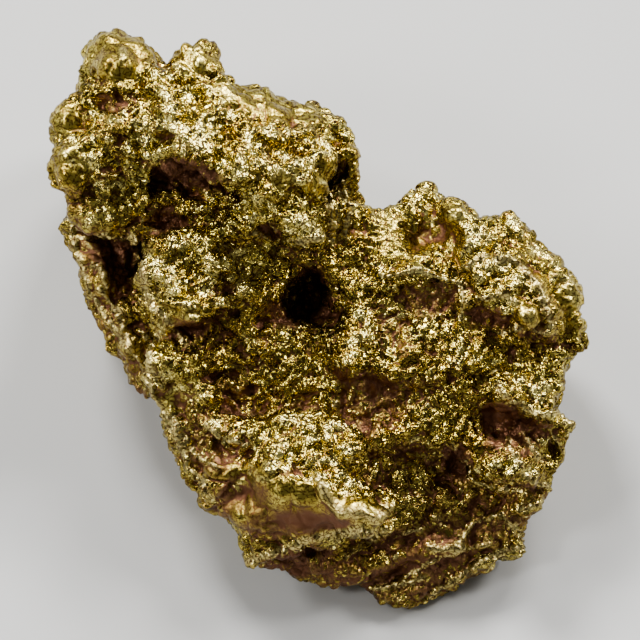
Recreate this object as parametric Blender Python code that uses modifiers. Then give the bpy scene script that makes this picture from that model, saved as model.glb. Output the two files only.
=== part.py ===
"""A natural gold nugget, about 27 mm long: one solid lump of gold, lying on its broad underside.

The main relief is laid out on a drawing plane that leans back from upright, so that its normal
looks up and forward. On it, across runs along +X, up runs up the plane, and proud is the height
off it. Lumps swell out of the body and hollows are sunk into it. All of them are then fused,
smoothed and given small nodules. Sizes in the tables are in millimetres, and turns in degrees.
"""

import math
import random
from dataclasses import dataclass

import bmesh
import bpy
from mathutils import Matrix, Vector

MM = 0.001

# Driving dimensions, in millimetres
SIGHT_RISE = math.radians(65)  # how steeply the drawing plane's normal rises from the rest plane
LIFT = 6.1  # height of the drawing plane's middle over the rest plane
CENTRING = (0.04, -0.82)  # the last move, which brings the middle of the bounding box over the origin
FUSE_GRID = 0.26  # grid on which the lumps are fused
CUTTER_GRID = 0.14  # grid on which the hollows are fused
FINE_GRID = 0.30  # grid once the hollows are sunk
HOLLOW_DEEP = 2.4  # half height of a hollow's ellipsoid
REST_SNAP = 0.06  # what ends this close to the rest plane is part of a worn flat
NODULES = (("broad_nodules", 1.7, 0.55), ("small_nodules", 0.9, 0.25))  # name, pitch and height
NODULE_MIDDLE = 0.45  # share of a nodule's height that stands inside the surface it grows on

# The side that faces away from the drawing plane
BACK_LUMPS = 70
BACK_LUMP_SIZE = (0.7, 1.5)  # least and greatest radius
BACK_LUMP_SINK = 0.65  # share of its radius that a back lump sinks into the body
BACK_LUMP_SHORT = 0.85  # its short radius as a share of the long one
BACK_LUMP_CLEAR = 0.6  # share of its radius that its base stays over the rest plane
SEED = 7

BALL_STEPS = 3  # subdivisions of the icosphere that each lump starts as
SMOOTH_SHARE = 0.5
SMOOTH_ROUNDS = 2
TRIANGLE_SHARE = 0.22  # share of the triangles that is kept

GOLD = (0.83, 0.62, 0.19, 1.0)
GOLD_ROUGHNESS = 0.32


@dataclass
class Lump:
    """An ellipsoid on the drawing plane. Zero stands for the same as long, then as short."""

    across: float
    up: float
    proud: float  # where its top is
    long: float
    short: float = 0.0
    deep: float = 0.0
    turn: float = 0.0  # degrees anticlockwise from across, of the long side

    def matrix(self):
        short = self.short or self.long
        deep = self.deep or short
        middle = on_plane(self.across, self.up, self.proud - deep)
        size = Matrix.Diagonal((self.long * MM, short * MM, deep * MM, 1.0))
        spin = Matrix.Rotation(math.radians(self.turn), 4, "Z")
        return Matrix.Translation(middle) @ lean() @ spin @ size


@dataclass
class Hollow:
    """An ellipsoid to take away, by where its floor is."""

    across: float
    up: float
    floor: float
    long: float
    short: float
    turn: float = 0.0

    def matrix(self):
        top = self.floor + 2 * HOLLOW_DEEP
        return Lump(self.across, self.up, top, self.long, self.short, HOLLOW_DEEP, self.turn).matrix()


def lean():
    """Turns the drawing plane's own directions into the rest frame."""
    return Matrix.Rotation(math.pi / 2 - SIGHT_RISE, 4, "X")


def on_plane(across, up, proud):
    """A point of the drawing plane in the rest frame, in metres."""
    return (lean() @ Vector((across, up, proud)) + Vector((0, 0, LIFT))) * MM


BODY = [
    Lump(-4.9, 7.0, 2.3, 5.2, 2.7, 6.25, -14),  # upper lobe
    Lump(-3.6, 4.4, 1.6, 5.4, 2.4, 4.6, -5),  # valley under it
    Lump(-3.2, -0.6, 1.7, 3.8, 4.4, 3.9),  # middle left
    Lump(-7.7, 0.9, -0.9, 3.5, 1.4, 2.8, -65),  # left flank
    Lump(1.6, -2.6, 1.15, 5.0, 4.6, 2.8),  # middle
    Lump(1.8, 1.6, 1.2, 3.8, 2.5, 3.2),  # saddle
    Lump(4.9, -1.2, 1.9, 5.2, 5.1, 3.6),  # right lobe
    Lump(-0.9, -6.3, 1.8, 4.4, 3.0, 2.4, -22),  # front left
    Lump(4.2, -7.2, 0.2, 4.6, 3.4, 1.6, 20),  # front right
    Lump(-8.0, 9.2, 1.6, 1.8, 1.6, 3.6),  # backs of the end knob, the left bumps and the right rim
    Lump(-8.6, 6.4, 1.4, 1.6, 2.0, 3.6),
    Lump(8.5, 0.3, 1.4, 1.7, 2.4, 2.8, 15),
    Lump(7.4, -0.1, 2.4, 2.3, 2.0, 2.2, -30),
    Lump(7.6, -4.6, 0.9, 1.6, 2.6, 2.2),
    Lump(-1.2, 7.4, 1.9, 2.4, 1.2, 3.0, -14),
]

UPPER_LOBE = [
    Lump(-8.2, 10.2, 2.1, 1.35),  # end knob
    Lump(-8.0, 9.6, 2.9, 1.05),
    Lump(-7.3, 10.5, 2.2, 0.90),
    Lump(-8.9, 9.1, 2.0, 0.75),
    Lump(-6.4, 9.3, 2.7, 1.20),
    Lump(-7.7, 8.7, 2.8, 0.85),
    Lump(-4.95, 10.35, 2.8, 1.00),  # second knob
    Lump(-4.25, 9.4, 2.9, 0.85),
    Lump(-3.6, 8.7, 3.2, 0.75),
    Lump(-2.4, 8.3, 2.6, 1.10),  # back slope
    Lump(-1.4, 7.7, 2.5, 1.20),
    Lump(-0.5, 7.8, 2.2, 1.05),
    Lump(0.2, 7.2, 2.3, 1.10),
    Lump(0.7, 7.4, 2.2, 0.70),
    Lump(1.05, 6.75, 2.2, 0.70),  # beads at its end
    Lump(1.05, 5.85, 1.9, 0.74),
    Lump(0.9, 5.1, 1.4, 0.68),
    Lump(1.2, 4.4, 0.8, 0.60),
    Lump(-9.95, 7.8, 1.6, 0.92),  # left bumps
    Lump(-9.5, 8.3, 1.7, 0.80),
    Lump(-9.5, 6.0, 2.6, 1.35),
    Lump(-8.7, 4.25, 1.9, 1.45, 0.85, 1.0, -8),
    Lump(-7.3, 3.7, 1.3, 0.80),
    Lump(-5.9, 8.6, 3.5, 0.95),  # crest
    Lump(-5.7, 7.7, 4.2, 0.80),
    Lump(-4.9, 6.9, 4.5, 0.80),
    Lump(-4.1, 6.2, 4.6, 0.85),
    Lump(-3.1, 5.8, 4.7, 0.85),
    Lump(-2.2, 5.6, 4.8, 0.85),
    Lump(-1.3, 5.6, 4.7, 0.85),
    Lump(-0.5, 5.8, 4.3, 0.80),
    Lump(0.2, 6.5, 3.6, 0.60),
    Lump(-4.2, 8.0, 3.7, 0.95),  # behind the crest
    Lump(-3.0, 6.9, 3.8, 0.95),
    Lump(-1.8, 6.8, 3.8, 0.95),
    Lump(-2.8, 8.0, 3.0, 0.90),
    Lump(-1.6, 7.6, 3.0, 0.90),
    Lump(-0.4, 7.2, 3.0, 0.80),
    Lump(-7.6, 7.6, 3.3, 0.65),  # rows of nodules left of it
    Lump(-6.7, 7.6, 3.4, 0.60),
    Lump(-8.6, 7.5, 2.7, 0.60),
    Lump(-7.4, 6.7, 3.1, 0.60),
    Lump(-6.6, 6.55, 3.2, 0.60),
    Lump(-7.6, 6.0, 2.6, 0.60),
    Lump(-5.7, 6.4, 3.5, 0.65),
    Lump(-4.9, 6.3, 3.4, 0.50),
    Lump(-8.6, 6.6, 2.6, 0.55),
    Lump(-8.0, 5.3, 2.2, 0.55),
    Lump(-7.0, 5.5, 2.3, 0.55),
]

VALLEY = [
    Lump(-4.8, 4.7, 2.2, 0.60),
    Lump(-5.5, 4.9, 2.1, 0.50),
    Lump(-3.4, 4.5, 2.4, 0.75),
    Lump(-6.8, 4.6, 1.9, 0.70),
    Lump(-2.5, 4.9, 3.1, 0.80),
    Lump(-3.2, 4.2, 2.7, 0.80),
    Lump(-2.3, 4.3, 3.8, 0.80),
    Lump(-1.5, 5.0, 3.7, 0.80),
    Lump(-0.4, 5.0, 3.6, 0.80),
    Lump(-0.9, 3.8, 4.3, 1.40, 0.90, 1.50, -28),  # lip over the deep pit
    Lump(-0.3, 3.3, 4.2, 0.80),
    Lump(-2.3, 2.7, 1.9, 0.90),
    Lump(-1.2, 2.3, 1.7, 1.10),
    Lump(0.3, 2.3, 1.7, 0.90),
    Lump(0.6, 4.2, 2.0, 0.90),
    Lump(1.4, 2.7, 1.6, 1.20),
    Lump(2.8, 2.7, 1.5, 1.20),
    Lump(2.0, 3.5, 0.9, 0.95),
    Lump(3.3, 3.6, 0.7, 1.00),
]

RIGHT_LOBE = [
    Lump(4.25, 4.25, 0.3, 1.15),  # far rim
    Lump(3.4, 3.95, 0.2, 0.80),
    Lump(5.0, 4.1, 0.7, 0.85),
    Lump(5.3, 4.3, 1.7, 0.55),
    Lump(6.3, 3.3, 2.5, 1.10),
    Lump(7.3, 3.2, 2.0, 1.20),
    Lump(7.9, 3.1, 2.0, 1.02),
    Lump(8.5, 2.7, 1.7, 0.72),
    Lump(9.0, 2.0, 1.9, 0.82),
    Lump(9.6, 1.2, 1.9, 0.80),
    Lump(9.85, 0.2, 1.8, 0.80),
    Lump(10.0, -0.3, 1.8, 0.75),
    Lump(10.15, -0.9, 1.7, 0.80),
    Lump(9.5, -1.9, 1.2, 0.65),
    Lump(6.0, 2.2, 2.5, 0.55),  # curved ridge
    Lump(6.9, 2.4, 2.7, 0.50),
    Lump(7.8, 2.0, 2.8, 0.50),
    Lump(8.5, 1.4, 2.9, 0.50),
    Lump(9.0, 0.7, 2.9, 0.50),
    Lump(9.2, -0.1, 2.6, 0.50),
    Lump(6.9, 1.6, 3.1, 0.80),  # inside the curve
    Lump(7.4, 0.8, 3.4, 0.80),
    Lump(6.4, 1.0, 3.0, 0.70),
    Lump(7.8, 0.2, 3.3, 0.60),
    Lump(8.4, -0.1, 3.0, 0.60),
    Lump(5.7, 0.6, 2.5, 0.45, 0.90, 0.8),  # small upright ledge
    Lump(6.4, -1.3, 2.2, 0.80),
    Lump(7.9, -2.5, 2.4, 1.20, 0.90, 1.00),
    Lump(9.0, -2.4, 1.9, 0.80),
    Lump(7.5, -3.2, 2.6, 1.20, 0.50, 0.90, -35),  # overhanging ledge
    Lump(8.6, -3.9, 2.4, 1.25, 0.42, 0.80, -12),
    Lump(9.6, -4.25, 1.9, 0.80, 0.55, 0.70, -20),
    Lump(8.3, -4.6, 0.6, 1.30),
    Lump(7.4, -5.7, 2.4, 1.70, 0.85, 1.10, -22),
    Lump(6.6, -5.3, 2.3, 0.80),
    Lump(8.95, -5.3, 1.2, 0.95),
    Lump(8.75, -6.6, 0.9, 0.80),
    Lump(8.5, -7.0, 0.7, 0.65),
    Lump(7.9, -7.4, 0.6, 0.75),
]

CENTRE = [
    Lump(3.2, 1.7, 1.9, 0.80),
    Lump(4.3, 2.1, 2.0, 0.85),
    Lump(5.2, 2.0, 2.2, 0.70),
    Lump(1.5, -0.3, 2.2, 0.80),
    Lump(1.1, 1.2, 1.8, 0.60),
    Lump(2.4, 1.4, 1.9, 0.80),
    Lump(4.1, 1.5, 2.3, 1.40, 0.50, 0.90, -4),
    Lump(3.1, -1.7, 1.2, 0.90),
    Lump(4.8, -1.9, 1.9, 1.00),
    Lump(3.8, -2.0, 2.1, 1.80, 0.55, 0.80, 5),
    Lump(5.6, -2.1, 2.2, 0.90),
    Lump(3.2, -4.4, 1.5, 1.20, 0.80, 1.20),
    Lump(4.8, -4.4, 1.6, 1.10, 0.80, 1.10),
    Lump(2.2, -4.9, 1.8, 1.00),
    Lump(3.6, -5.9, 0.9, 1.00),
    Lump(4.8, -7.2, 0.3, 1.20),
    Lump(3.2, -7.4, 0.8, 1.00),
    Lump(6.4, -7.4, 0.3, 1.10),
    Lump(-3.4, -0.4, 1.6, 1.20),
    Lump(-4.6, -0.8, 1.6, 1.00),
    Lump(-2.8, -1.7, 1.4, 1.00),
    Lump(-1.2, -1.3, 1.05, 1.10),
    Lump(0.4, -1.6, 1.1, 1.00),
    Lump(1.1, -1.4, 2.6, 0.90),
    Lump(-1.6, -2.7, 1.1, 0.80),
    Lump(-3.2, -2.9, 1.0, 0.80),
    Lump(0.0, -2.8, 1.1, 0.80),
    Lump(1.8, -2.6, 0.8, 0.90),
]

LEFT_BLOCKS = [
    Lump(-5.2, 1.8, 2.3, 1.95, 1.85, 1.90),
    Lump(-6.0, 2.7, 2.7, 0.90),
    Lump(-4.7, 3.0, 2.8, 0.75),
    Lump(-3.6, 3.5, 3.4, 0.80),
    Lump(-2.7, 2.9, 2.6, 0.75),
    Lump(-6.5, 1.9, 2.5, 0.70),
    Lump(-5.7, 1.1, 2.9, 0.80),
    Lump(-5.2, 0.4, 3.3, 1.05, 0.60, 0.90, -10),
    Lump(-6.2, 0.4, 2.6, 0.80),
    Lump(-4.3, 0.8, 3.0, 0.70),
    Lump(-4.2, 2.2, 3.0, 0.75),
    Lump(-3.4, 1.8, 2.6, 0.75),
    Lump(-2.7, 0.9, 2.3, 0.80),
    Lump(-6.5, 0.8, 1.6, 1.80, 0.70, 1.40, -70),
    Lump(-6.0, -1.6, 2.4, 0.95, 0.75, 0.90),
    Lump(-5.2, -1.7, 2.4, 0.70),
    Lump(-6.25, -2.75, 1.4, 0.90, 0.72, 0.90, -20),
    Lump(-4.7, -3.0, 2.1, 0.90),
]

LEFT_FLANK = [
    Lump(-9.65, 3.5, -0.8, 0.95),
    Lump(-9.25, 2.3, -0.9, 0.55),
    Lump(-8.85, 1.2, -0.8, 0.72),
    Lump(-8.5, 0.2, -0.7, 0.75),
    Lump(-7.9, -0.8, -0.5, 0.80),
    Lump(-7.2, -1.8, -0.4, 0.85),
    Lump(-6.85, -2.5, -0.2, 0.52),
    Lump(-9.0, 2.6, -0.2, 0.75, 0.40, 0.60),  # folds
    Lump(-8.8, 1.8, -0.2, 0.70, 0.38, 0.60, -5),
    Lump(-8.7, 1.0, -0.3, 0.75, 0.45, 0.60, -10),
    Lump(-7.7, 0.2, 0.0, 1.10, 0.70, 0.80, -70),
    Lump(-7.4, -1.2, 0.1, 1.00, 0.50, 0.80, -65),
]

FRONT_NOSE = [
    Lump(-0.5, -6.7, 4.1, 2.50, 1.70, 2.20, -16),
    Lump(0.35, -6.7, 4.6, 1.00, 0.42, 1.00, -65),  # bright ridge and tip
    Lump(1.5, -7.6, 4.7, 1.20, 0.90, 1.20, -20),
    Lump(-2.0, -5.8, 3.8, 0.70, 0.95, 0.90),
    Lump(-1.4, -4.1, 2.7, 0.70),
    Lump(0.2, -4.3, 3.2, 0.90),
    Lump(1.0, -5.2, 3.7, 0.90),
    Lump(-1.0, -5.2, 3.5, 0.80),
    Lump(-3.8, -6.0, 2.3, 0.95, 0.55, 1.20),  # shelf and plate
    Lump(-3.6, -7.2, 1.9, 0.85, 0.95, 1.10),
    Lump(-2.2, -7.8, 2.5, 1.00, 1.20, 1.60, -20),
    Lump(-0.6, -8.0, 3.0, 1.40, 0.80, 1.20, 5),
    Lump(-3.6, -4.8, 2.4, 0.85),
    Lump(-2.6, -4.4, 2.8, 0.70),
    Lump(-4.3, -4.5, 2.1, 0.80),
    Lump(-5.5, -4.45, 1.3, 0.80),
    Lump(-5.35, -5.2, 0.8, 0.76),
    Lump(-4.9, -6.05, 0.7, 0.72),
    Lump(-4.35, -6.95, 0.7, 0.68),
    Lump(-3.3, -7.9, 0.6, 0.68),
]

FRONT_LEDGES = [
    Lump(-2.0, -9.2, 1.2, 1.35, 0.58, 0.90, -14),
    Lump(0.2, -8.7, 2.0, 1.60, 0.32, 0.80, 8),
    Lump(2.2, -8.3, 1.6, 1.00, 0.30, 0.70, -5),
    Lump(-1.5, -9.55, 0.5, 1.30, 0.62, 0.90, -12),
    Lump(0.7, -9.9, 0.5, 1.30, 0.62, 1.10, -12),
    Lump(0.4, -10.1, 0.2, 1.30, 0.75),
    Lump(2.6, -9.7, 0.4, 1.70, 0.42, 1.10, 14),
    Lump(3.2, -10.85, -0.3, 1.40, 0.68, 1.00, 2),
    Lump(4.6, -9.2, 0.4, 1.60, 0.42, 1.20, 22),
    Lump(4.7, -10.3, -0.1, 1.85, 0.55, 1.10, 26),
    Lump(4.7, -10.75, -0.4, 1.10, 0.55, 0.80, 30),
    Lump(6.7, -8.6, 0.1, 1.55, 0.55, 1.10, 3),
    Lump(6.4, -9.5, -0.2, 1.80, 0.50, 1.00, 21),
    Lump(7.6, -9.0, -0.2, 0.85, 0.70, 0.80, 10),
]

HOLLOWS = [
    Hollow(-0.35, 1.35, -2.2, 0.70, 0.60),  # the deep pit, three-sided
    Hollow(-0.5, 0.65, -2.0, 0.95, 0.62),
    Hollow(0.25, 0.3, -1.2, 0.66, 0.36, -50),
    Hollow(-1.3, 0.25, -0.6, 0.75, 0.30, 22),
    Hollow(-2.0, 0.0, 0.1, 0.60, 0.26, 15),
    Hollow(-4.9, 5.4, 2.9, 1.00, 0.28, -16),  # under the crest
    Hollow(-6.1, 7.2, 2.4, 0.90, 0.22, -5),
    Hollow(-8.1, 6.1, 1.9, 0.50, 0.30, 10),
    Hollow(-6.2, 5.2, 1.5, 0.60, 0.26),
    Hollow(-6.3, 3.85, 1.2, 0.80, 0.28),
    Hollow(-1.8, 3.55, 1.1, 0.65, 0.32, -40),  # under the lip
    Hollow(4.1, 4.3, 0.3, 0.80, 0.40),
    Hollow(-7.95, 2.1, -2.0, 1.00, 0.36, 82),  # slot behind the left rim
    Hollow(-8.2, 3.15, -1.6, 1.20, 0.26, 4),
    Hollow(-4.1, 1.3, 1.9, 0.65, 0.25, -10),
    Hollow(4.1, 0.65, 1.0, 1.20, 0.60, -8),
    Hollow(3.4, 0.1, 0.9, 0.70, 0.55, 20),
    Hollow(3.2, -0.5, 1.0, 0.50, 0.35, -30),
    Hollow(6.5, 0.0, 1.9, 0.55, 0.24, -15),
    Hollow(8.4, -0.5, 1.0, 0.60, 0.28),
    Hollow(9.4, -1.05, 0.5, 0.65, 0.28, -20),
    Hollow(7.4, -1.3, 1.2, 0.45, 0.40),
    Hollow(8.1, -4.4, 0.8, 1.10, 0.32, -8),  # under the ledge
    Hollow(5.35, -5.3, -0.3, 0.75, 0.34, 80),  # three-sided pit
    Hollow(5.5, -6.1, -0.3, 0.85, 0.38),
    Hollow(8.3, -8.1, -1.2, 0.42, 0.32),
    Hollow(-0.35, -9.35, -0.8, 0.36, 0.34),
    Hollow(-3.4, -5.5, 1.2, 0.70, 0.30, -5),
    Hollow(3.4, -3.05, 0.7, 2.10, 0.38, -6),
    Hollow(-0.9, -3.2, 0.5, 2.40, 0.30, -3),
]


def new_object(name, mesh, collection):
    made = bpy.data.objects.new(name, mesh)
    collection.objects.link(made)
    return made


def new_collection(name):
    made = bpy.data.collections.new(name)
    bpy.context.scene.collection.children.link(made)
    return made


def ball_mesh(name, shapes):
    """One mesh with an ellipsoid for each shape."""
    bm = bmesh.new()
    for shape in shapes:
        bmesh.ops.create_icosphere(bm, subdivisions=BALL_STEPS, radius=1.0, matrix=shape.matrix())
    mesh = bpy.data.meshes.new(name)
    bm.to_mesh(mesh)
    bm.free()
    return mesh


def on_far_side(mass, size, reach, way):
    """A point on the far side of a mass of the body, as across, up and proud.

    reach runs from 0 at the mass's middle to 1 at its outline, and way is the angle round it.
    """
    long = (mass.long - size) * reach * math.cos(way)
    short = ((mass.short or mass.long) - size) * reach * math.sin(way)
    spin = math.radians(mass.turn)
    across = mass.across + long * math.cos(spin) - short * math.sin(spin)
    up = mass.up + long * math.sin(spin) + short * math.cos(spin)
    deep = mass.deep or mass.short or mass.long
    proud = mass.proud - deep - deep * math.sqrt(1 - reach * reach)
    return across, up, proud


def back_lumps():
    """Lumps scattered over the side of the body that faces away from the drawing plane."""
    chance = random.Random(SEED)
    found = []
    while len(found) < BACK_LUMPS:
        mass = chance.choice(BODY)
        size = chance.uniform(*BACK_LUMP_SIZE)
        reach = math.sqrt(chance.random())
        way = chance.uniform(0, 2 * math.pi)
        across, up, proud = on_far_side(mass, size, reach, way)
        middle = proud + (1 - BACK_LUMP_SINK) * size
        if on_plane(across, up, middle).z < size * MM * BACK_LUMP_CLEAR:
            continue
        turn = chance.uniform(0, 180)
        found.append(Lump(across, up, middle + size, size, size * BACK_LUMP_SHORT, size, turn))
    return found


def add_modifier(made, kind, name, **settings):
    modifier = made.modifiers.new(name, kind)
    for key, value in settings.items():
        setattr(modifier, key, value)


def bake(made):
    """Makes the modifiers' result the object's own mesh."""
    graph = bpy.context.evaluated_depsgraph_get()
    mesh = bpy.data.meshes.new_from_object(made.evaluated_get(graph))
    mesh.name = made.name
    made.modifiers.clear()
    made.data = mesh


def press_flat(mesh, within):
    """Puts whatever is lower than this on the rest plane, as a worn flat."""
    for vertex in mesh.vertices:
        if vertex.co.z < within * MM:
            vertex.co.z = 0.0


def joined_to(start, left):
    """The vertices that edges join to this one. It takes them out of left."""
    skin = {start}
    ends = [start]
    while ends:
        vertex = ends.pop()
        for link in vertex.link_edges:
            other = link.other_vert(vertex)
            if other in left:
                left.remove(other)
                skin.add(other)
                ends.append(other)
    return skin


def fill_cavities(mesh):
    """Keeps the outer skin alone, and so fills any bubble that was shut in between the lumps."""
    bm = bmesh.new()
    bm.from_mesh(mesh)
    left = set(bm.verts)
    skins = []
    while left:
        skins.append(joined_to(left.pop(), left))
    outer = max(skins, key=len)
    inner = [vertex for vertex in bm.verts if vertex not in outer]
    bmesh.ops.delete(bm, geom=inner, context="VERTS")
    bm.to_mesh(mesh)
    bm.free()


def gold_material():
    made = bpy.data.materials.new("gold")
    made.use_nodes = True
    shader = made.node_tree.nodes["Principled BSDF"]
    shader.inputs["Base Color"].default_value = GOLD
    shader.inputs["Metallic"].default_value = 1.0
    shader.inputs["Roughness"].default_value = GOLD_ROUGHNESS
    return made


def make_hollows(collection):
    """The cutter: every hollow, fused so that those that overlap cut as one."""
    hollows = new_object("hollows", ball_mesh("hollows", HOLLOWS), collection)
    hollows.hide_render = True
    hollows.display_type = "WIRE"
    add_modifier(hollows, "REMESH", "fuse", mode="VOXEL", voxel_size=CUTTER_GRID * MM)
    return hollows


def add_nodules(nugget):
    """Rounds the whole surface up into nodules, each a cell with a dip between it and the next."""
    for name, pitch, height in NODULES:
        cells = bpy.data.textures.new(name, "VORONOI")
        cells.noise_scale = pitch * MM
        cells.distance_metric = "DISTANCE"
        add_modifier(
            nugget,
            "DISPLACE",
            name,
            texture=cells,
            texture_coords="LOCAL",
            mid_level=NODULE_MIDDLE,
            strength=-height * MM,
        )


def make_nugget(collection, hollows):
    relief = UPPER_LOBE + VALLEY + RIGHT_LOBE + CENTRE + LEFT_BLOCKS + LEFT_FLANK + FRONT_NOSE + FRONT_LEDGES
    nugget = new_object("nugget", ball_mesh("nugget", BODY + relief + back_lumps()), collection)
    add_modifier(nugget, "REMESH", "fuse", mode="VOXEL", voxel_size=FUSE_GRID * MM)
    add_modifier(nugget, "BOOLEAN", "sink_hollows", object=hollows, operation="DIFFERENCE")
    add_modifier(nugget, "REMESH", "even_out", mode="VOXEL", voxel_size=FINE_GRID * MM)
    add_modifier(nugget, "SMOOTH", "round_creases", factor=SMOOTH_SHARE, iterations=SMOOTH_ROUNDS)
    add_nodules(nugget)
    bake(nugget)
    fill_cavities(nugget.data)
    press_flat(nugget.data, 0.0)
    add_modifier(nugget, "DECIMATE", "thin_out", ratio=TRIANGLE_SHARE)
    bake(nugget)
    press_flat(nugget.data, REST_SNAP)
    nugget.data.transform(Matrix.Translation(Vector((*CENTRING, 0.0)) * MM))
    nugget.data.materials.append(gold_material())
    nugget.data.shade_smooth()


def main():
    for old in list(bpy.data.objects):
        bpy.data.objects.remove(old)
    shown = new_collection("gold_nugget")
    hollows = make_hollows(new_collection("cutters"))
    make_nugget(shown, hollows)


main()
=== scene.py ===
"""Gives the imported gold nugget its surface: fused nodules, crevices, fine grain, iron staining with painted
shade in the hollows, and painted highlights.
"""

import functools
import itertools
import math
from dataclasses import dataclass

import bmesh
import bpy
import numpy as np
from mathutils import Matrix, Vector
from mathutils.bvhtree import BVHTree
from mathutils.kdtree import KDTree

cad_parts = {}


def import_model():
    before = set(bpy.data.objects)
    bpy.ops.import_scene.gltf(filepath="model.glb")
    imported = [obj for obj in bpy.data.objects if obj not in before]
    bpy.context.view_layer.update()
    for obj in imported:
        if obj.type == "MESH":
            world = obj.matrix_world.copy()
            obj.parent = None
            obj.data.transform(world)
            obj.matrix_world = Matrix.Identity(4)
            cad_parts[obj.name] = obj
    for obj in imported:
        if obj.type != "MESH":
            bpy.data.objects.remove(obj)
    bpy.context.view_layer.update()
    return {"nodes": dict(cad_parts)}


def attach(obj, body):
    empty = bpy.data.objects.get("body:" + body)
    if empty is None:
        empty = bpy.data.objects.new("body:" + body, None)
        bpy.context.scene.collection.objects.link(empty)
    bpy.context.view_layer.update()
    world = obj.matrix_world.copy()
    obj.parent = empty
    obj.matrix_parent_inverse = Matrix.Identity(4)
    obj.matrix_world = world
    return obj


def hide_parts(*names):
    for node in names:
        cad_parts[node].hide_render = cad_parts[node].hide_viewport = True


MM = 0.001

# The drawing plane: across and up run along its sides, and proud is the height off it
SIGHT_RISE = math.radians(65)
PLANE_MIDDLE = Vector((0.04, -0.82, 6.1)) * MM
PLANE_WIDTH = 25.6 * MM
LEAN = Matrix.Rotation(math.pi / 2 - SIGHT_RISE, 3, "X")

LENS = 500.0
SENSOR = 36.0
LAMP_DISTANCE = 0.5
LAMPS = [  # name, way to it on the drawing plane, size in metres and power in watts
    ("top_left", (-0.29, 0.88, 0.40), 0.12, 2.2),
    ("top_right", (0.29, 0.88, 0.40), 0.12, 1.55),
    ("right", (0.75, 0.54, 0.37), 0.12, 1.4),
    ("left", (-0.75, 0.45, 0.45), 0.10, 0.82),
    ("left_front", (-0.65, 0.10, 0.75), 0.10, 0.66),
]
WORLD = 0.185  # how bright the studio's walls are
HORIZON = 0.75  # and the low strip where they meet the floor
HORIZON_BAND = (0.03, 0.08)  # the strip's upper edge fades between these rises, as sines
FLOOR_SIZE = 4
FLOOR_COLOUR = (0.55, 0.545, 0.53, 1)
FLOOR_ROUGH = 0.9
FAR_LIGHT = 0.62  # makes up for the lamps' light far out on the floor
FLOOR_FADE = (0.12, 0.8)  # metres from the nugget over which it comes in
WHITE = (1, 1, 1, 1)

SKIN_GRID = 0.065 * MM
WELD = 0.001 * MM
MOST_ABOVE = 0.3 * MM  # the grains stand no further above the solid's top than this
REST_FADE = (0.05, 0.5)  # the grains come in between these heights over the rest plane, in millimetres

TRIANGLE_LIMIT = 200000
MOST_TRIANGLES = 196000
FACING_FACTOR = 2.0  # how strongly the shares below steer the thinning
MOST_KEPT = 0.7  # the camera side is thinned too, but least
OTHER_SIDES = 0.7  # how far the other sides are kept against that; what faces straight down isn't

WIDE_CURVE = 0.8  # outlines wander in curves of these two sizes, in millimetres
FINE_CURVE = 0.25
SHAPE_SALTS = (11, 14)  # the first of the three salts of each curve size
STAIN_SALTS = (61, 63)
BLOB_HIGH = 0.07  # millimetres

# What mark() stores is blurred over the neighbours, round after round. Depths are in millimetres
FINE_ROUNDS = 4
FINE_DEPTH = 0.03
HOLLOW_ROUNDS = 30
HOLLOW_DEPTH = 0.12
FACING_ROUNDS = 40
SKY_ROUNDS = 20
SKY_RAYS = 40
SKY_START = 0.08 * MM
SKY_REACH = 6 * MM
MARKS = ("fine_hollow", "hollow", "sky", "under", "smooth", "stain_shade_spots", "bright", "grainy", "highlight_blob", "edge")

CLEAN = (0.52, 0.435, 0.115, 1)
CLEAN_WARM = (0.42, 0.31, 0.065, 1)
# painted highlight colour, on the drop tops where the clumps run high and on the highlight blobs
PAINTED_HIGHLIGHT_GOLD = (1.0, 0.88, 0.33, 1)
# darker olive, a random tone that the painted light spots keep off
OLIVE = (0.26, 0.20, 0.045, 1)
# pale painted highlight along the ridges
RIDGE_HIGHLIGHT = (0.62, 0.52, 0.24, 1)
# painted shade in the gaps from grain to grain
GAP_SHADE = (0.09, 0.04, 0.014, 1)
# brown of iron staining, and painted shade in the hollows, where the sky is hidden and on the down-facing sides
STAIN_AND_SHADE_BROWN = (0.165, 0.070, 0.032, 1)

# The material's own relief, finer than the skin's. Scales are cells to the millimetre, heights are millimetres
GRAIN_SCALE = 5.2
GRAIN_HIGH = 0.06
DROP_SCALE = 2.9
DROP_HIGH = 0.10
CREASE_DEEP = 0.02
FINE_HIGH = 0.006
DOME_FOOT = 0.36  # a grain's round top ends where its distance from the middle, squared, is this
BEND = 0.26
BUMP = 0.8
TILT = 0.4
GAP_SHADE_SHARE = 0.9
ROUGH = 0.2
STAIN_AND_SHADE_ROUGH = 0.42
WORN_ROUGH = 0.12  # more on edges, and more on smooth zones
STAIN_AND_SHADE_METAL = 0.6
# brown added in the hollows and where the solid hides the sky: painted shade, with iron staining in the hollows
STAIN_AND_SHADE_CAUSES = [  # mark, the shares between which it comes in, and its weight
    ("hollow", (0.55, 0.95), 0.6),
    ("fine_hollow", (0.55, 0.95), 0.5),
    ("sky", (0.85, 0.35), 0.8),
]
# painted shade on the sides that face down on the drawing plane
UNDER_SHADE_WEIGHT = 0.6
# the measured spots add brown; the painted light spots, the highlight blobs and the ridges take it off
STAIN_AND_SHADE_WEIGHTS = {"stain_shade_spots": 0.95, "bright": -0.35, "highlight_blob": -0.8, "edge": -0.8}


@dataclass
class Spot:
    """A patch of the camera's side, on the drawing plane. amount is a height in millimetres or a share."""

    across: float
    up: float
    long: float
    short: float
    turn: float  # degrees anticlockwise, of the long side
    amount: float


@dataclass
class Ridge:
    """A thin raised edge along a line on the drawing plane."""

    line: list
    height: float
    width: float


@dataclass
class Patches:
    """Random patches on the side that the camera doesn't see."""

    pitch: float  # millimetres
    salt: int
    low: float  # the noise at which a patch starts
    high: float
    amount: float = 1.0


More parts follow.
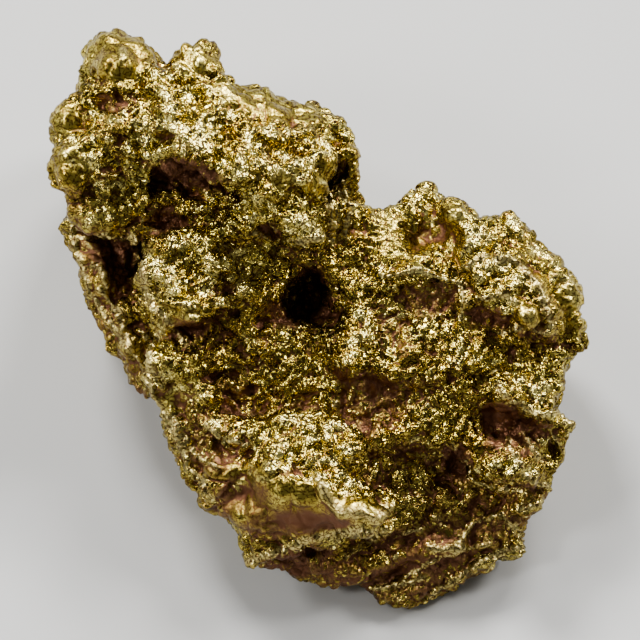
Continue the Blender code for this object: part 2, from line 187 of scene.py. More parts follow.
@dataclass
class Grains:
    """One size of natural grain, over the whole skin. Lengths are in millimetres."""

    pitch: float
    salt: int
    dome: float  # height of a round top
    facet: float  # height that a tilted facet adds
    gap: float  # depth of the gap between grains
    gap_width: float  # in pitches
    uneven: float  # how far grains differ in height
    worn: float  # the share lost on a smooth zone
    plain: float  # the share that isn't due to a grainy zone
    grainy: float  # and what a grainy zone adds to it


SMOOTH_PATCHES = Patches(4.0, 51, 0.35, 0.7)
GRAINY_PATCHES = Patches(5.0, 52, -0.1, 0.4)
STAIN_PATCHES = Patches(3.5, 71, 0.1, 0.6, 0.8)

GRAIN_LAYERS = [
    Grains(1.0, 21, 0.52, 0.05, 0.05, 0.12, 0.0, worn=0.55, plain=1.0, grainy=-0.5),
    Grains(0.5, 31, 0.28, 0.07, 0.08, 0.16, 0.0, worn=0.85, plain=1.0, grainy=-0.3),
    Grains(0.24, 41, 0.08, 0.03, 0.0, 0.1, 0.03, worn=0.9, plain=0.35, grainy=0.9),
]

BEADS = [
    Spot(-9.4, 7, 0.56, 0.48, 0, 0.28),  # left of the crest
    Spot(-8.92, 6.52, 0.48, 0.4, 0, 0.25),
    Spot(-7.2, 8, 0.48, 0.4, 0, 0.22),
    Spot(-7.84, 8.32, 0.36, 0.32, 0, 0.18),
    Spot(-6.48, 7.68, 0.44, 0.36, 0, 0.2),
    Spot(-7.6, 6.6, 0.36, 0.32, 0, 0.2),  # row under the crest
    Spot(-6.88, 6.72, 0.36, 0.32, 0, 0.2),
    Spot(-6.16, 6.56, 0.4, 0.32, 0, 0.2),
    Spot(-5.36, 6.6, 0.4, 0.36, 0, 0.22),
    Spot(-4.68, 6.4, 0.32, 0.28, 0, 0.18),
    Spot(-8.48, 5.36, 0.32, 0.28, 0, 0.2),
    Spot(-7.92, 5.44, 0.36, 0.28, 0, 0.2),
    Spot(-7.36, 5.48, 0.32, 0.28, 0, 0.2),
    Spot(-4.8, 4.6, 0.64, 0.4, -10, 0.2),
    Spot(-3.52, 4.32, 0.4, 0.68, -20, 0.2),
    Spot(-6.8, 9.92, 0.48, 0.44, 0, 0.2),  # crest
    Spot(-6.48, 9.12, 0.48, 0.44, 0, 0.22),
    Spot(-5.76, 8.32, 0.52, 0.44, 0, 0.22),
    Spot(-4.96, 7.68, 0.48, 0.44, 0, 0.22),
    Spot(-5.2, 6.88, 0.52, 0.4, 0, 0.22),
    Spot(-4.2, 6.8, 0.56, 0.48, 0, 0.22),
    Spot(-3.2, 6.24, 0.56, 0.48, 0, 0.22),
    Spot(-2.32, 6, 0.52, 0.4, 0, 0.2),
    Spot(-1.28, 6, 0.56, 0.48, 0, 0.25),
    Spot(-1.52, 6.96, 0.52, 0.48, 0, 0.2),
    Spot(-0.32, 6.48, 0.48, 0.44, 0, 0.22),
    Spot(-2.8, 7.52, 0.52, 0.44, 0, 0.18),
    Spot(-3.8, 8.48, 0.48, 0.4, 0, 0.2),
    Spot(-4.6, 9.12, 0.48, 0.4, 0, 0.2),
    Spot(-5.28, 9.68, 0.44, 0.4, 0, 0.18),
    Spot(1.16, 6.72, 0.4, 0.4, 0, 0.25),  # beads at the lobe end
    Spot(1.28, 5.92, 0.36, 0.4, 0, 0.25),
    Spot(-10.16, 8, 0.64, 0.64, 0, 0.2),  # left bumps
    Spot(-9.8, 6.2, 0.88, 0.88, 0, 0.3),
    Spot(-8.64, 4.16, 1.44, 0.72, 5, 0.25),
    Spot(-6, 2.8, 0.6, 0.48, 0, 0.25),  # middle left
    Spot(-4.6, 3, 0.52, 0.44, 0, 0.25),
    Spot(-6.6, 1.8, 0.48, 0.52, 0, 0.22),
    Spot(-5.6, 1.28, 0.52, 0.4, 0, 0.22),
    Spot(-4.2, 2.2, 0.56, 0.48, 0, 0.25),
    Spot(-3.32, 1.76, 0.48, 0.44, 0, 0.22),
    Spot(-5.2, 0.56, 0.64, 0.32, 8, 0.25),
    Spot(-3.92, 0.72, 0.48, 0.28, 0, 0.2),
    Spot(-7.8, 0.4, 0.4, 0.56, 20, 0.25),
    Spot(-7.6, -1, 0.4, 0.56, 20, 0.2),
    Spot(-6, -1.8, 0.8, 0.68, 0, 0.22),
    Spot(5.32, 4.32, 0.52, 0.48, 0, 0.3),  # right lobe
    Spot(6.24, 3.2, 0.68, 0.64, 0, 0.28),
    Spot(7.68, 3.8, 0.56, 0.48, 0, 0.25),
    Spot(6.88, 2.32, 0.4, 0.36, 0, 0.2),
    Spot(7.08, 1.72, 0.56, 0.4, 0, 0.22),
    Spot(7.52, 1.2, 0.44, 0.32, 0, 0.18),
    Spot(8.28, 0.2, 0.52, 0.44, 0, 0.35),
    Spot(8.84, 2.32, 0.44, 0.4, -40, 0.2),
    Spot(9.44, 1.68, 0.44, 0.44, 0, 0.2),
    Spot(9.88, 0.88, 0.4, 0.52, 20, 0.25),
    Spot(10.28, -0.08, 0.36, 0.44, 0, 0.2),
    Spot(3.68, 4.76, 0.4, 0.36, 0, 0.2),
    Spot(4.28, 5.04, 0.36, 0.32, 0, 0.2),
    Spot(4.72, 3.36, 0.4, 0.32, 0, 0.12),
    Spot(-1.4, -4, 0.56, 0.44, 0, 0.2),  # nose
    Spot(0.2, -4.4, 0.52, 0.48, 0, 0.22),
    Spot(1, -5.2, 0.56, 0.48, 0, 0.22),
    Spot(-1, -5.28, 0.52, 0.44, 0, 0.2),
    Spot(-2.2, -5.8, 0.52, 0.44, 0, 0.2),
    Spot(-0.08, -5.52, 0.44, 0.4, 0, 0.18),
    Spot(-0.8, -6.32, 0.48, 0.4, 0, 0.18),
    Spot(1.88, -7.6, 0.8, 0.4, -15, 0.22),
    Spot(-3.8, -6, 0.8, 0.36, -5, 0.2),
    Spot(7.8, -5.6, 1.36, 0.88, -25, 0.15),
]

PITS = [
    Spot(-4.32, -2.36, 0.24, 0.2, 0, 0.3),  # small holes
    Spot(-3.84, -2.24, 0.16, 0.16, 0, 0.25),
    Spot(-2.72, -2.76, 0.24, 0.2, 0, 0.3),
    Spot(-2.96, -1.44, 0.24, 0.2, 0, 0.3),
    Spot(-8.08, 5.2, 0.2, 0.2, 0, 0.3),
    Spot(-6.24, 5.36, 0.32, 0.24, 0, 0.35),
    Spot(-8.32, 8.6, 0.6, 0.36, -20, 0.3),  # under the knobs
    Spot(-8.32, 6, 0.4, 0.2, 0, 0.3),
    Spot(-6.16, 5.28, 0.52, 0.24, -5, 0.3),
    Spot(-6.4, 3.8, 0.52, 0.24, 0, 0.15),
    Spot(-6, 7.2, 0.6, 0.28, -20, 0.2),
    Spot(8.52, -0.48, 0.48, 0.2, -10, 0.3),  # right side
    Spot(9.68, -1.04, 0.6, 0.2, -15, 0.25),
    Spot(7.6, -1.4, 0.24, 0.36, 0, 0.22),
    Spot(6.6, 0.08, 0.76, 0.36, -8, 0.1),
    Spot(-4.08, 1.16, 0.52, 0.28, 0, 0.3),  # middle
    Spot(-4.28, -2.32, 0.44, 0.16, 5, 0.35),
    Spot(-3.52, -2.24, 0.28, 0.2, 0, 0.25),
    Spot(-2.72, -2.8, 0.32, 0.24, 0, 0.35),
    Spot(-3.2, -1.2, 0.28, 0.2, 0, 0.22),
    Spot(-3.4, 0.28, 0.28, 0.2, 0, 0.22),
    Spot(-2.68, -3.56, 0.24, 0.2, 0, 0.2),
    Spot(-2.28, -0.08, 0.36, 0.2, 20, 0.25),
    Spot(0.8, -2.08, 0.36, 0.2, 0, 0.2),
    Spot(2.72, -2.88, 0.44, 0.24, 10, 0.2),
    Spot(4.4, -1.28, 0.32, 0.2, 0, 0.2),
    Spot(5.44, -5.76, 0.52, 0.52, 0, 0.3),  # front
    Spot(-0.44, -9.28, 0.36, 0.24, 0, 0.35),
    Spot(-1.8, -9.84, 0.36, 0.16, 0, 0.2),
    Spot(-2.8, -5.4, 0.28, 0.2, 0, 0.2),
    Spot(-4.8, -4.32, 0.4, 0.2, -40, 0.2),
    Spot(-3.92, -5.2, 0.36, 0.2, -40, 0.2),
    Spot(-2.08, 3.52, 0.4, 0.24, -20, 0.25),
    Spot(-8.2, 2.08, 0.44, 0.8, 10, 0.25),
]

RIDGES = [
    Ridge([(-9.96, 3.92), (-9.52, 1.8), (-9.04, 0.68), (-8.04, -0.68), (-6.92, -2.16)], 0.12, 0.11),  # left rim
    Ridge([(-6.4, -0.56), (-6.88, -1.92), (-6.76, -3.16)], 0.12, 0.11),
    Ridge([(-9.28, 2.96), (-8.76, 2.72), (-8.32, 2.32)], 0.1, 0.1),
    Ridge([(-9.2, 2.16), (-8.68, 1.92), (-8.28, 1.44)], 0.1, 0.1),
    Ridge([(-8.92, 1.2), (-8.48, 0.92), (-8.08, 0.32)], 0.1, 0.1),
    # right lobe
    Ridge([(5.8, 2.16), (6.6, 2.6), (7.6, 2.32), (8.6, 1.4), (9.12, 0.4), (9.2, -0.24)], 0.2, 0.14),
    Ridge([(2.4, 1.8), (3.8, 1.96), (5.4, 1.56)], 0.16, 0.12),
    Ridge([(5.48, 1.44), (5.68, 0.72), (5.6, -0.08)], 0.16, 0.12),
    Ridge([(6.4, 0.84), (7.12, 1), (7.84, 0.8)], 0.14, 0.12),
    Ridge([(7.2, -0.4), (8.2, -0.24), (9.12, -0.56)], 0.12, 0.12),
    Ridge([(-7.32, 3.2), (-7.04, 2), (-6.8, 0.8), (-6.2, 0), (-5.4, -0.8)], 0.2, 0.13),  # middle left
    Ridge([(-9.6, 3.16), (-8.48, 3.36), (-7.32, 3.2)], 0.14, 0.12),
    Ridge([(-8.92, 2.32), (-8.4, 0.8), (-7.92, -0.4)], 0.12, 0.13),
    Ridge([(-7.92, -0.4), (-7.28, -1.6), (-6.8, -2.96)], 0.14, 0.13),
    Ridge([(-7.2, -0.4), (-6.72, -1.52), (-6.4, -2.6)], 0.12, 0.12),
    Ridge([(0.28, 5.44), (0.48, 4.24), (0.4, 3.2)], 0.16, 0.14),  # lobe end
    Ridge([(0.92, 5.52), (1.12, 4.48), (0.92, 3.44)], 0.16, 0.14),
    Ridge([(-2.6, 3.36), (-1.4, 3.08), (0, 3.2)], 0.12, 0.12),  # lip
    Ridge([(7, -2.6), (7.6, -3.2), (8.2, -3.56), (9.4, -3.68), (10.12, -4.24)], 0.2, 0.13),  # front right
    Ridge([(5.4, -5.04), (5.84, -5.8), (6.24, -6.48)], 0.18, 0.14),
    Ridge([(9.12, -4.4), (9.6, -5.08)], 0.1, 0.1),
    Ridge([(7.32, -4.64), (8, -5.72)], 0.1, 0.12),
    Ridge([(8.08, -4.56), (8.8, -5.56)], 0.1, 0.12),
    Ridge([(6.4, -6.48), (7.2, -6.76), (8.08, -6.88)], 0.16, 0.12),
    Ridge([(8.16, -6.16), (8.8, -6.48), (9.32, -6.96)], 0.14, 0.12),
    Ridge([(8, -7.52), (9.2, -7.4)], 0.12, 0.12),
    Ridge([(-0.08, -6.16), (0.4, -7), (1, -7.64), (2.2, -7.88), (2.72, -7.48)], 0.22, 0.2),  # nose
    Ridge([(-3.52, -9.84), (-2, -9.32), (-0.8, -8.84), (1.6, -8.24)], 0.2, 0.18),
    Ridge([(1.6, -8.24), (3.2, -8.6), (4, -8.4)], 0.16, 0.12),
    Ridge([(1, -9.44), (2.2, -8.64), (2.88, -8.16)], 0.16, 0.12),  # strata under the front
    Ridge([(4.4, -9.04), (5.4, -9.12), (6, -8.24), (7.2, -7.8), (8, -8.4), (8.24, -9.04)], 0.16, 0.12),
    Ridge([(3.2, -10.24), (4.4, -9.64), (5.6, -9.16), (6.8, -9)], 0.16, 0.12),
    Ridge([(4.4, -11.2), (5.6, -10.24), (6.8, -9.44), (8, -9.12)], 0.16, 0.12),
    Ridge([(2, -10.84), (4, -10.24)], 0.16, 0.12),
    Ridge([(-6.72, -3.28), (-5.8, -4.48), (-5, -6), (-4.2, -7.2)], 0.12, 0.14),  # lower left
    Ridge([(-5.92, -4), (-5.2, -5), (-4.24, -5.68)], 0.12, 0.12),
    Ridge([(-4.6, -4.2), (-3.76, -4.8), (-2.96, -5.04)], 0.12, 0.12),
]

# Measured brown patches: iron staining, and painted shade where the nugget lies in shadow
STAIN_AND_SHADE_SPOTS = [
    Spot(-6.16, 2.52, 0.48, 0.28, -20, 0.9),  # middle left
    Spot(-6.4, -2.6, 0.36, 0.48, 30, 0.8),
    Spot(-4.48, -5.48, 1.12, 0.48, 0, 1.2),
    Spot(-3.52, -6.8, 0.72, 0.72, 0, 1),
    Spot(-1.2, -5.84, 0.56, 0.36, -10, 1),
    Spot(0.68, -8, 0.8, 0.36, -10, 1.2),
    Spot(4.4, -8.8, 1.68, 0.44, -5, 1.2),
    Spot(7.52, -5, 1.04, 0.36, -8, 1.2),
    Spot(3.04, -0.32, 1.2, 1.12, 0, 0.6),
    Spot(-9.12, 2.48, 0.64, 1.36, 8, 0.8),  # left flank plates
    Spot(-8.48, 0.08, 0.56, 1.2, 25, 0.7),
    Spot(-7.2, -1.6, 0.36, 0.88, 25, 0.6),
    Spot(-9.52, 3.68, 0.48, 0.56, 0, 0.5),
    Spot(-7.68, 8.8, 0.4, 0.64, 0, 0.5),
    Spot(-2.32, 8.48, 1.04, 0.36, -10, 0.35),
    Spot(3.52, -3.2, 1.2, 0.4, 0, 0.6),
    Spot(-0.8, -3.6, 0.96, 0.32, 10, 0.6),
    Spot(-0.08, 0.56, 0.56, 0.56, 0, 0.9),
    Spot(-0.48, -7.84, 1.92, 0.44, -3, 0.8),  # nose underside
    Spot(-2.56, -7.4, 0.64, 1.12, 10, 0.8),
    Spot(0.6, -7.4, 0.56, 0.4, -20, 0.6),
    Spot(-8.32, 8.6, 0.8, 0.52, -20, 1),  # upper lobe
    Spot(-5.2, 5.92, 1.68, 0.52, -12, 1),
    Spot(-5.92, 7.2, 0.96, 0.4, -20, 0.8),
    Spot(-8.08, 7.28, 0.8, 0.36, 0, 0.6),
    Spot(-6.4, 3.92, 1.04, 0.48, 0, 0.7),
    Spot(-2.08, 3.52, 0.48, 0.36, 0, 0.7),
    Spot(-8.2, 2.08, 0.72, 1.12, 10, 1),  # left flank
    Spot(-9, 1.4, 0.64, 1.8, 20, 0.6),
    Spot(-5.4, -0.28, 0.88, 0.52, 10, 0.9),
    Spot(-4.08, 1.16, 0.6, 0.32, 0, 0.6),
    Spot(-7.2, -2, 0.56, 1.6, 25, 0.6),
    Spot(4.4, 0.8, 1.2, 0.8, 0, 1),  # right side
    Spot(6.68, 0.08, 0.96, 0.48, -8, 1),
    Spot(8.6, -0.6, 0.64, 0.32, -10, 0.8),
    Spot(9.68, -1.04, 0.64, 0.28, -15, 0.6),
    Spot(7.6, -1.52, 0.48, 0.4, 0, 0.5),
    Spot(4, 4.24, 0.72, 0.32, -10, 0.5),
    Spot(2.32, -3.28, 1.6, 1.04, 10, 0.9),  # middle
    Spot(-2.4, -1.2, 1.6, 1, 0, 0.45),
    Spot(-3.8, -2.6, 1.44, 0.48, 0, 0.5),
    Spot(1, -2.08, 1.04, 0.4, 0, 0.5),
    Spot(4.4, -2.6, 1.2, 0.4, 0, 0.5),
    Spot(8.4, -4.48, 1.52, 0.56, -12, 1),  # front right
    Spot(7, -3.68, 0.72, 0.6, 0, 0.8),
    Spot(5.44, -5.76, 0.8, 0.8, 0, 1),
    Spot(4, -5.4, 1.2, 0.88, 0, 0.6),
    Spot(8, -7.2, 1.6, 0.64, 15, 0.8),
    Spot(3.2, -1, 0.8, 0.64, 0, 0.5),
    Spot(2.08, -3.68, 0.72, 1.04, 0, 0.9),
    Spot(3.28, -0.6, 0.64, 1.04, 0, 0.9),
    Spot(-1.68, 0, 0.72, 0.56, 0, 0.8),
    Spot(-1.2, -5.68, 0.56, 0.4, 0, 0.7),
    Spot(-1.28, -4.4, 0.48, 0.32, 0, 0.6),
    Spot(-4.8, -5.6, 0.64, 0.48, 0, 0.7),
    Spot(7.2, -5.12, 1.04, 0.48, 0, 0.6),
    Spot(-8.4, 5.8, 0.72, 0.32, 0, 0.8),
    Spot(0.4, -8, 0.8, 0.48, 0, 0.5),
    Spot(5.2, -8.8, 3.36, 1.52, 25, 1),  # under the front
    Spot(3.2, -10.4, 3.2, 0.88, 10, 0.9),
    Spot(0.4, -9.8, 1.6, 0.56, 0, 0.9),
    Spot(4.8, -6.88, 2, 0.8, 20, 0.7),
    Spot(-0.8, -9.6, 1.6, 0.64, 0, 0.9),
    Spot(-0.8, -8.08, 1.76, 0.56, 5, 0.6),
    Spot(2.6, -6.8, 1.2, 0.96, 0, 0.5),
    Spot(-4.6, -4.8, 1.92, 1.36, -55, 0.85),
    Spot(-9.8, 4.4, 0.88, 0.4, 0, 0.6),
    Spot(-8.8, 4.8, 0.96, 0.32, 0, 0.5),
    Spot(-3.52, -7.28, 0.8, 0.64, 0, 0.9),
]

SMOOTH = [
    Spot(-9, 2, 0.8, 2, 10, 0.5),  # left flank
    Spot(-7.6, -1, 0.56, 1.36, 25, 0.5),
    Spot(-5.6, -0.08, 0.88, 0.56, 15, 0.8),
    Spot(-0.8, -7.4, 2.4, 1.04, -8, 1),  # nose underside
    Spot(-2.32, -7.2, 1.04, 1.44, 10, 0.9),
    Spot(1.4, -7.52, 1.36, 0.64, -10, 1),
    Spot(-3.2, -7.6, 0.64, 1.04, 10, 0.8),
    Spot(-8, 10.6, 1.36, 1.12, 0, 1),  # knobs
    Spot(-4.96, 10.4, 0.88, 0.8, 0, 0.8),
    Spot(-2.08, 8.56, 2.56, 0.64, -14, 0.9),
    Spot(-10.16, 8, 0.72, 0.72, 0, 0.9),
    Spot(-10, 6.16, 0.8, 0.96, 0, 0.8),
    Spot(-1.4, 5.44, 0.52, 0.32, 0, 0.9),  # crest facets
    Spot(-0.2, 5.36, 0.48, 0.32, 0, 0.9),
    Spot(0.28, 6.16, 0.44, 0.4, 0, 0.8),
    Spot(1.28, 6.4, 0.48, 0.88, 0, 0.6),
    Spot(3.68, 3.36, 2.24, 1.12, 0, 0.6),  # saddle
    Spot(8.8, 2.32, 1.36, 0.88, -45, 0.6),
    Spot(9.92, 0.6, 0.56, 1.2, 10, 0.7),
    Spot(5.32, 4.32, 0.52, 0.48, 0, 0.8),
    Spot(8.28, 0.2, 0.56, 0.48, 0, 0.8),
    Spot(1.88, -7.68, 0.96, 0.4, -15, 0.9),  # front
    Spot(-0.8, -8, 1.84, 0.56, 5, 0.7),
    Spot(7, -3.68, 0.68, 0.56, 0, 0.7),
    Spot(-3.8, -6, 0.88, 0.36, 0, 0.8),
    Spot(-6.16, -3.12, 0.88, 0.56, 0, 0.7),
    Spot(-8.64, 4, 1.36, 0.64, 5, 0.5),
    Spot(3.2, -9.6, 3.6, 1.2, 20, 0.35),
]

GRAINY = [
    Spot(-0.4, -0.6, 4.8, 2.8, 15, 1),  # the middle
    Spot(-2.8, -3, 3.8, 1.36, -15, 1),
    Spot(4.2, -0.4, 3, 2.4, 0, 1),
    Spot(4.4, -3.4, 3.2, 1.36, 8, 1),
    Spot(3.4, -5.8, 2.4, 1.6, 20, 0.9),
    Spot(3.6, 3.4, 2.4, 1.44, 0, 0.7),
    Spot(0.4, 2.8, 2.8, 1.04, 0, 0.9),
    Spot(-5.4, 3.8, 2.4, 0.64, -5, 0.8),
    Spot(3.2, -8.8, 4, 1.6, 20, 0.5),
    Spot(8.4, -2, 2, 0.88, 0, 0.5),
    Spot(-2.4, -0.4, 2, 1.6, 0, 0.9),
    Spot(0.4, -4, 2.4, 1.2, 0, 0.6),
]

# Spots painted lighter where the light falls on the crest and lobes: more painted highlight and less brown
PAINTED_LIGHT_SPOTS = [
    Spot(9.68, 0.08, 0.4, 0.88, 20, 0.8),  # right rim
    Spot(6.4, -1.68, 0.96, 0.32, 0, 0.7),
    Spot(-9.44, 6.08, 0.52, 0.6, 0, 0.8),  # left bumps
    Spot(-7.68, 7.36, 0.4, 0.48, 0, 0.8),
    Spot(-6.8, 3.8, 0.4, 0.64, 0, 0.5),
    Spot(-2.96, 4.6, 0.52, 0.4, 0, 0.7),
    Spot(-1.8, 5.92, 0.88, 0.4, -10, 0.9),
    Spot(-6.2, 9.12, 0.96, 0.88, 0, 0.8),  # crest
    Spot(-4.8, 7.8, 1.68, 1.12, -40, 1),
    Spot(-2.8, 6.48, 1.84, 0.96, -20, 1),
    Spot(-0.8, 6.08, 1.44, 0.8, -8, 0.9),
    Spot(-4.2, 9.4, 1.04, 0.88, 0, 0.7),
    Spot(-9.4, 6.8, 1.04, 0.8, 0, 0.6),  # upper lobe
    Spot(-6.2, 6.6, 1.76, 0.36, 0, 0.9),
    Spot(-7.92, 5.4, 0.96, 0.32, 0, 0.8),
    Spot(-4.8, 4.56, 0.72, 0.4, 0, 0.7),
    Spot(-3.4, 4.32, 0.56, 0.8, 0, 0.7),
    Spot(-5, 10.4, 0.72, 0.64, 0, 0.7),
    Spot(-8, 10.4, 1.04, 0.8, 0, 0.4),
    Spot(-1.12, 3.92, 1.6, 0.8, -10, 0.8),
    Spot(-5.4, 2.2, 1.68, 1.28, -20, 0.9),  # middle left
    Spot(-4.6, 0.6, 1.12, 0.56, 0, 0.8),
    Spot(6.24, 3.2, 0.8, 0.72, 0, 0.8),  # right lobe
    Spot(7.68, 3.8, 0.64, 0.52, 0, 0.7),
    Spot(7, 1.76, 1.04, 0.72, 0, 0.8),
    Spot(8.28, 0.2, 0.52, 0.44, 0, 0.7),
    Spot(9.8, 1, 0.64, 1.12, 20, 0.7),
    Spot(-3.64, 2.56, 0.72, 1.28, 10, 1),
    Spot(-2.32, 4.6, 1.04, 0.72, 0, 0.8),
    Spot(-1.6, 6, 1.04, 0.56, 0, 1),
    Spot(0.72, -1.84, 0.64, 0.36, 0, 0.9),
    Spot(4.6, -4.68, 1.28, 0.6, 0, 0.9),
    Spot(-8, 7.6, 0.8, 0.64, 0, 0.6),
    Spot(2.68, 1.36, 0.88, 0.36, 0, 0.9),
    Spot(7.2, 0.48, 0.72, 0.4, 0, 0.4),
    Spot(-5.4, 0.32, 1.2, 0.4, 0, 0.7),
    Spot(1.28, -0.88, 0.4, 0.8, 30, 0.7),  # middle
    Spot(8.4, -2, 1.92, 0.8, 0, 0.7),
    Spot(3.8, -0.6, 0.64, 0.32, 0, 0.4),
    Spot(4.8, 4.2, 1.2, 0.56, -20, 0.4),
    Spot(-0.32, -4.6, 1.52, 1.04, -20, 0.8),  # nose
    Spot(1, -7.2, 1.52, 0.72, -35, 1),
    Spot(0.6, -5.4, 0.56, 0.72, 0, 0.9),
    Spot(0.4, -4.4, 0.48, 0.48, 0, 0.9),
]

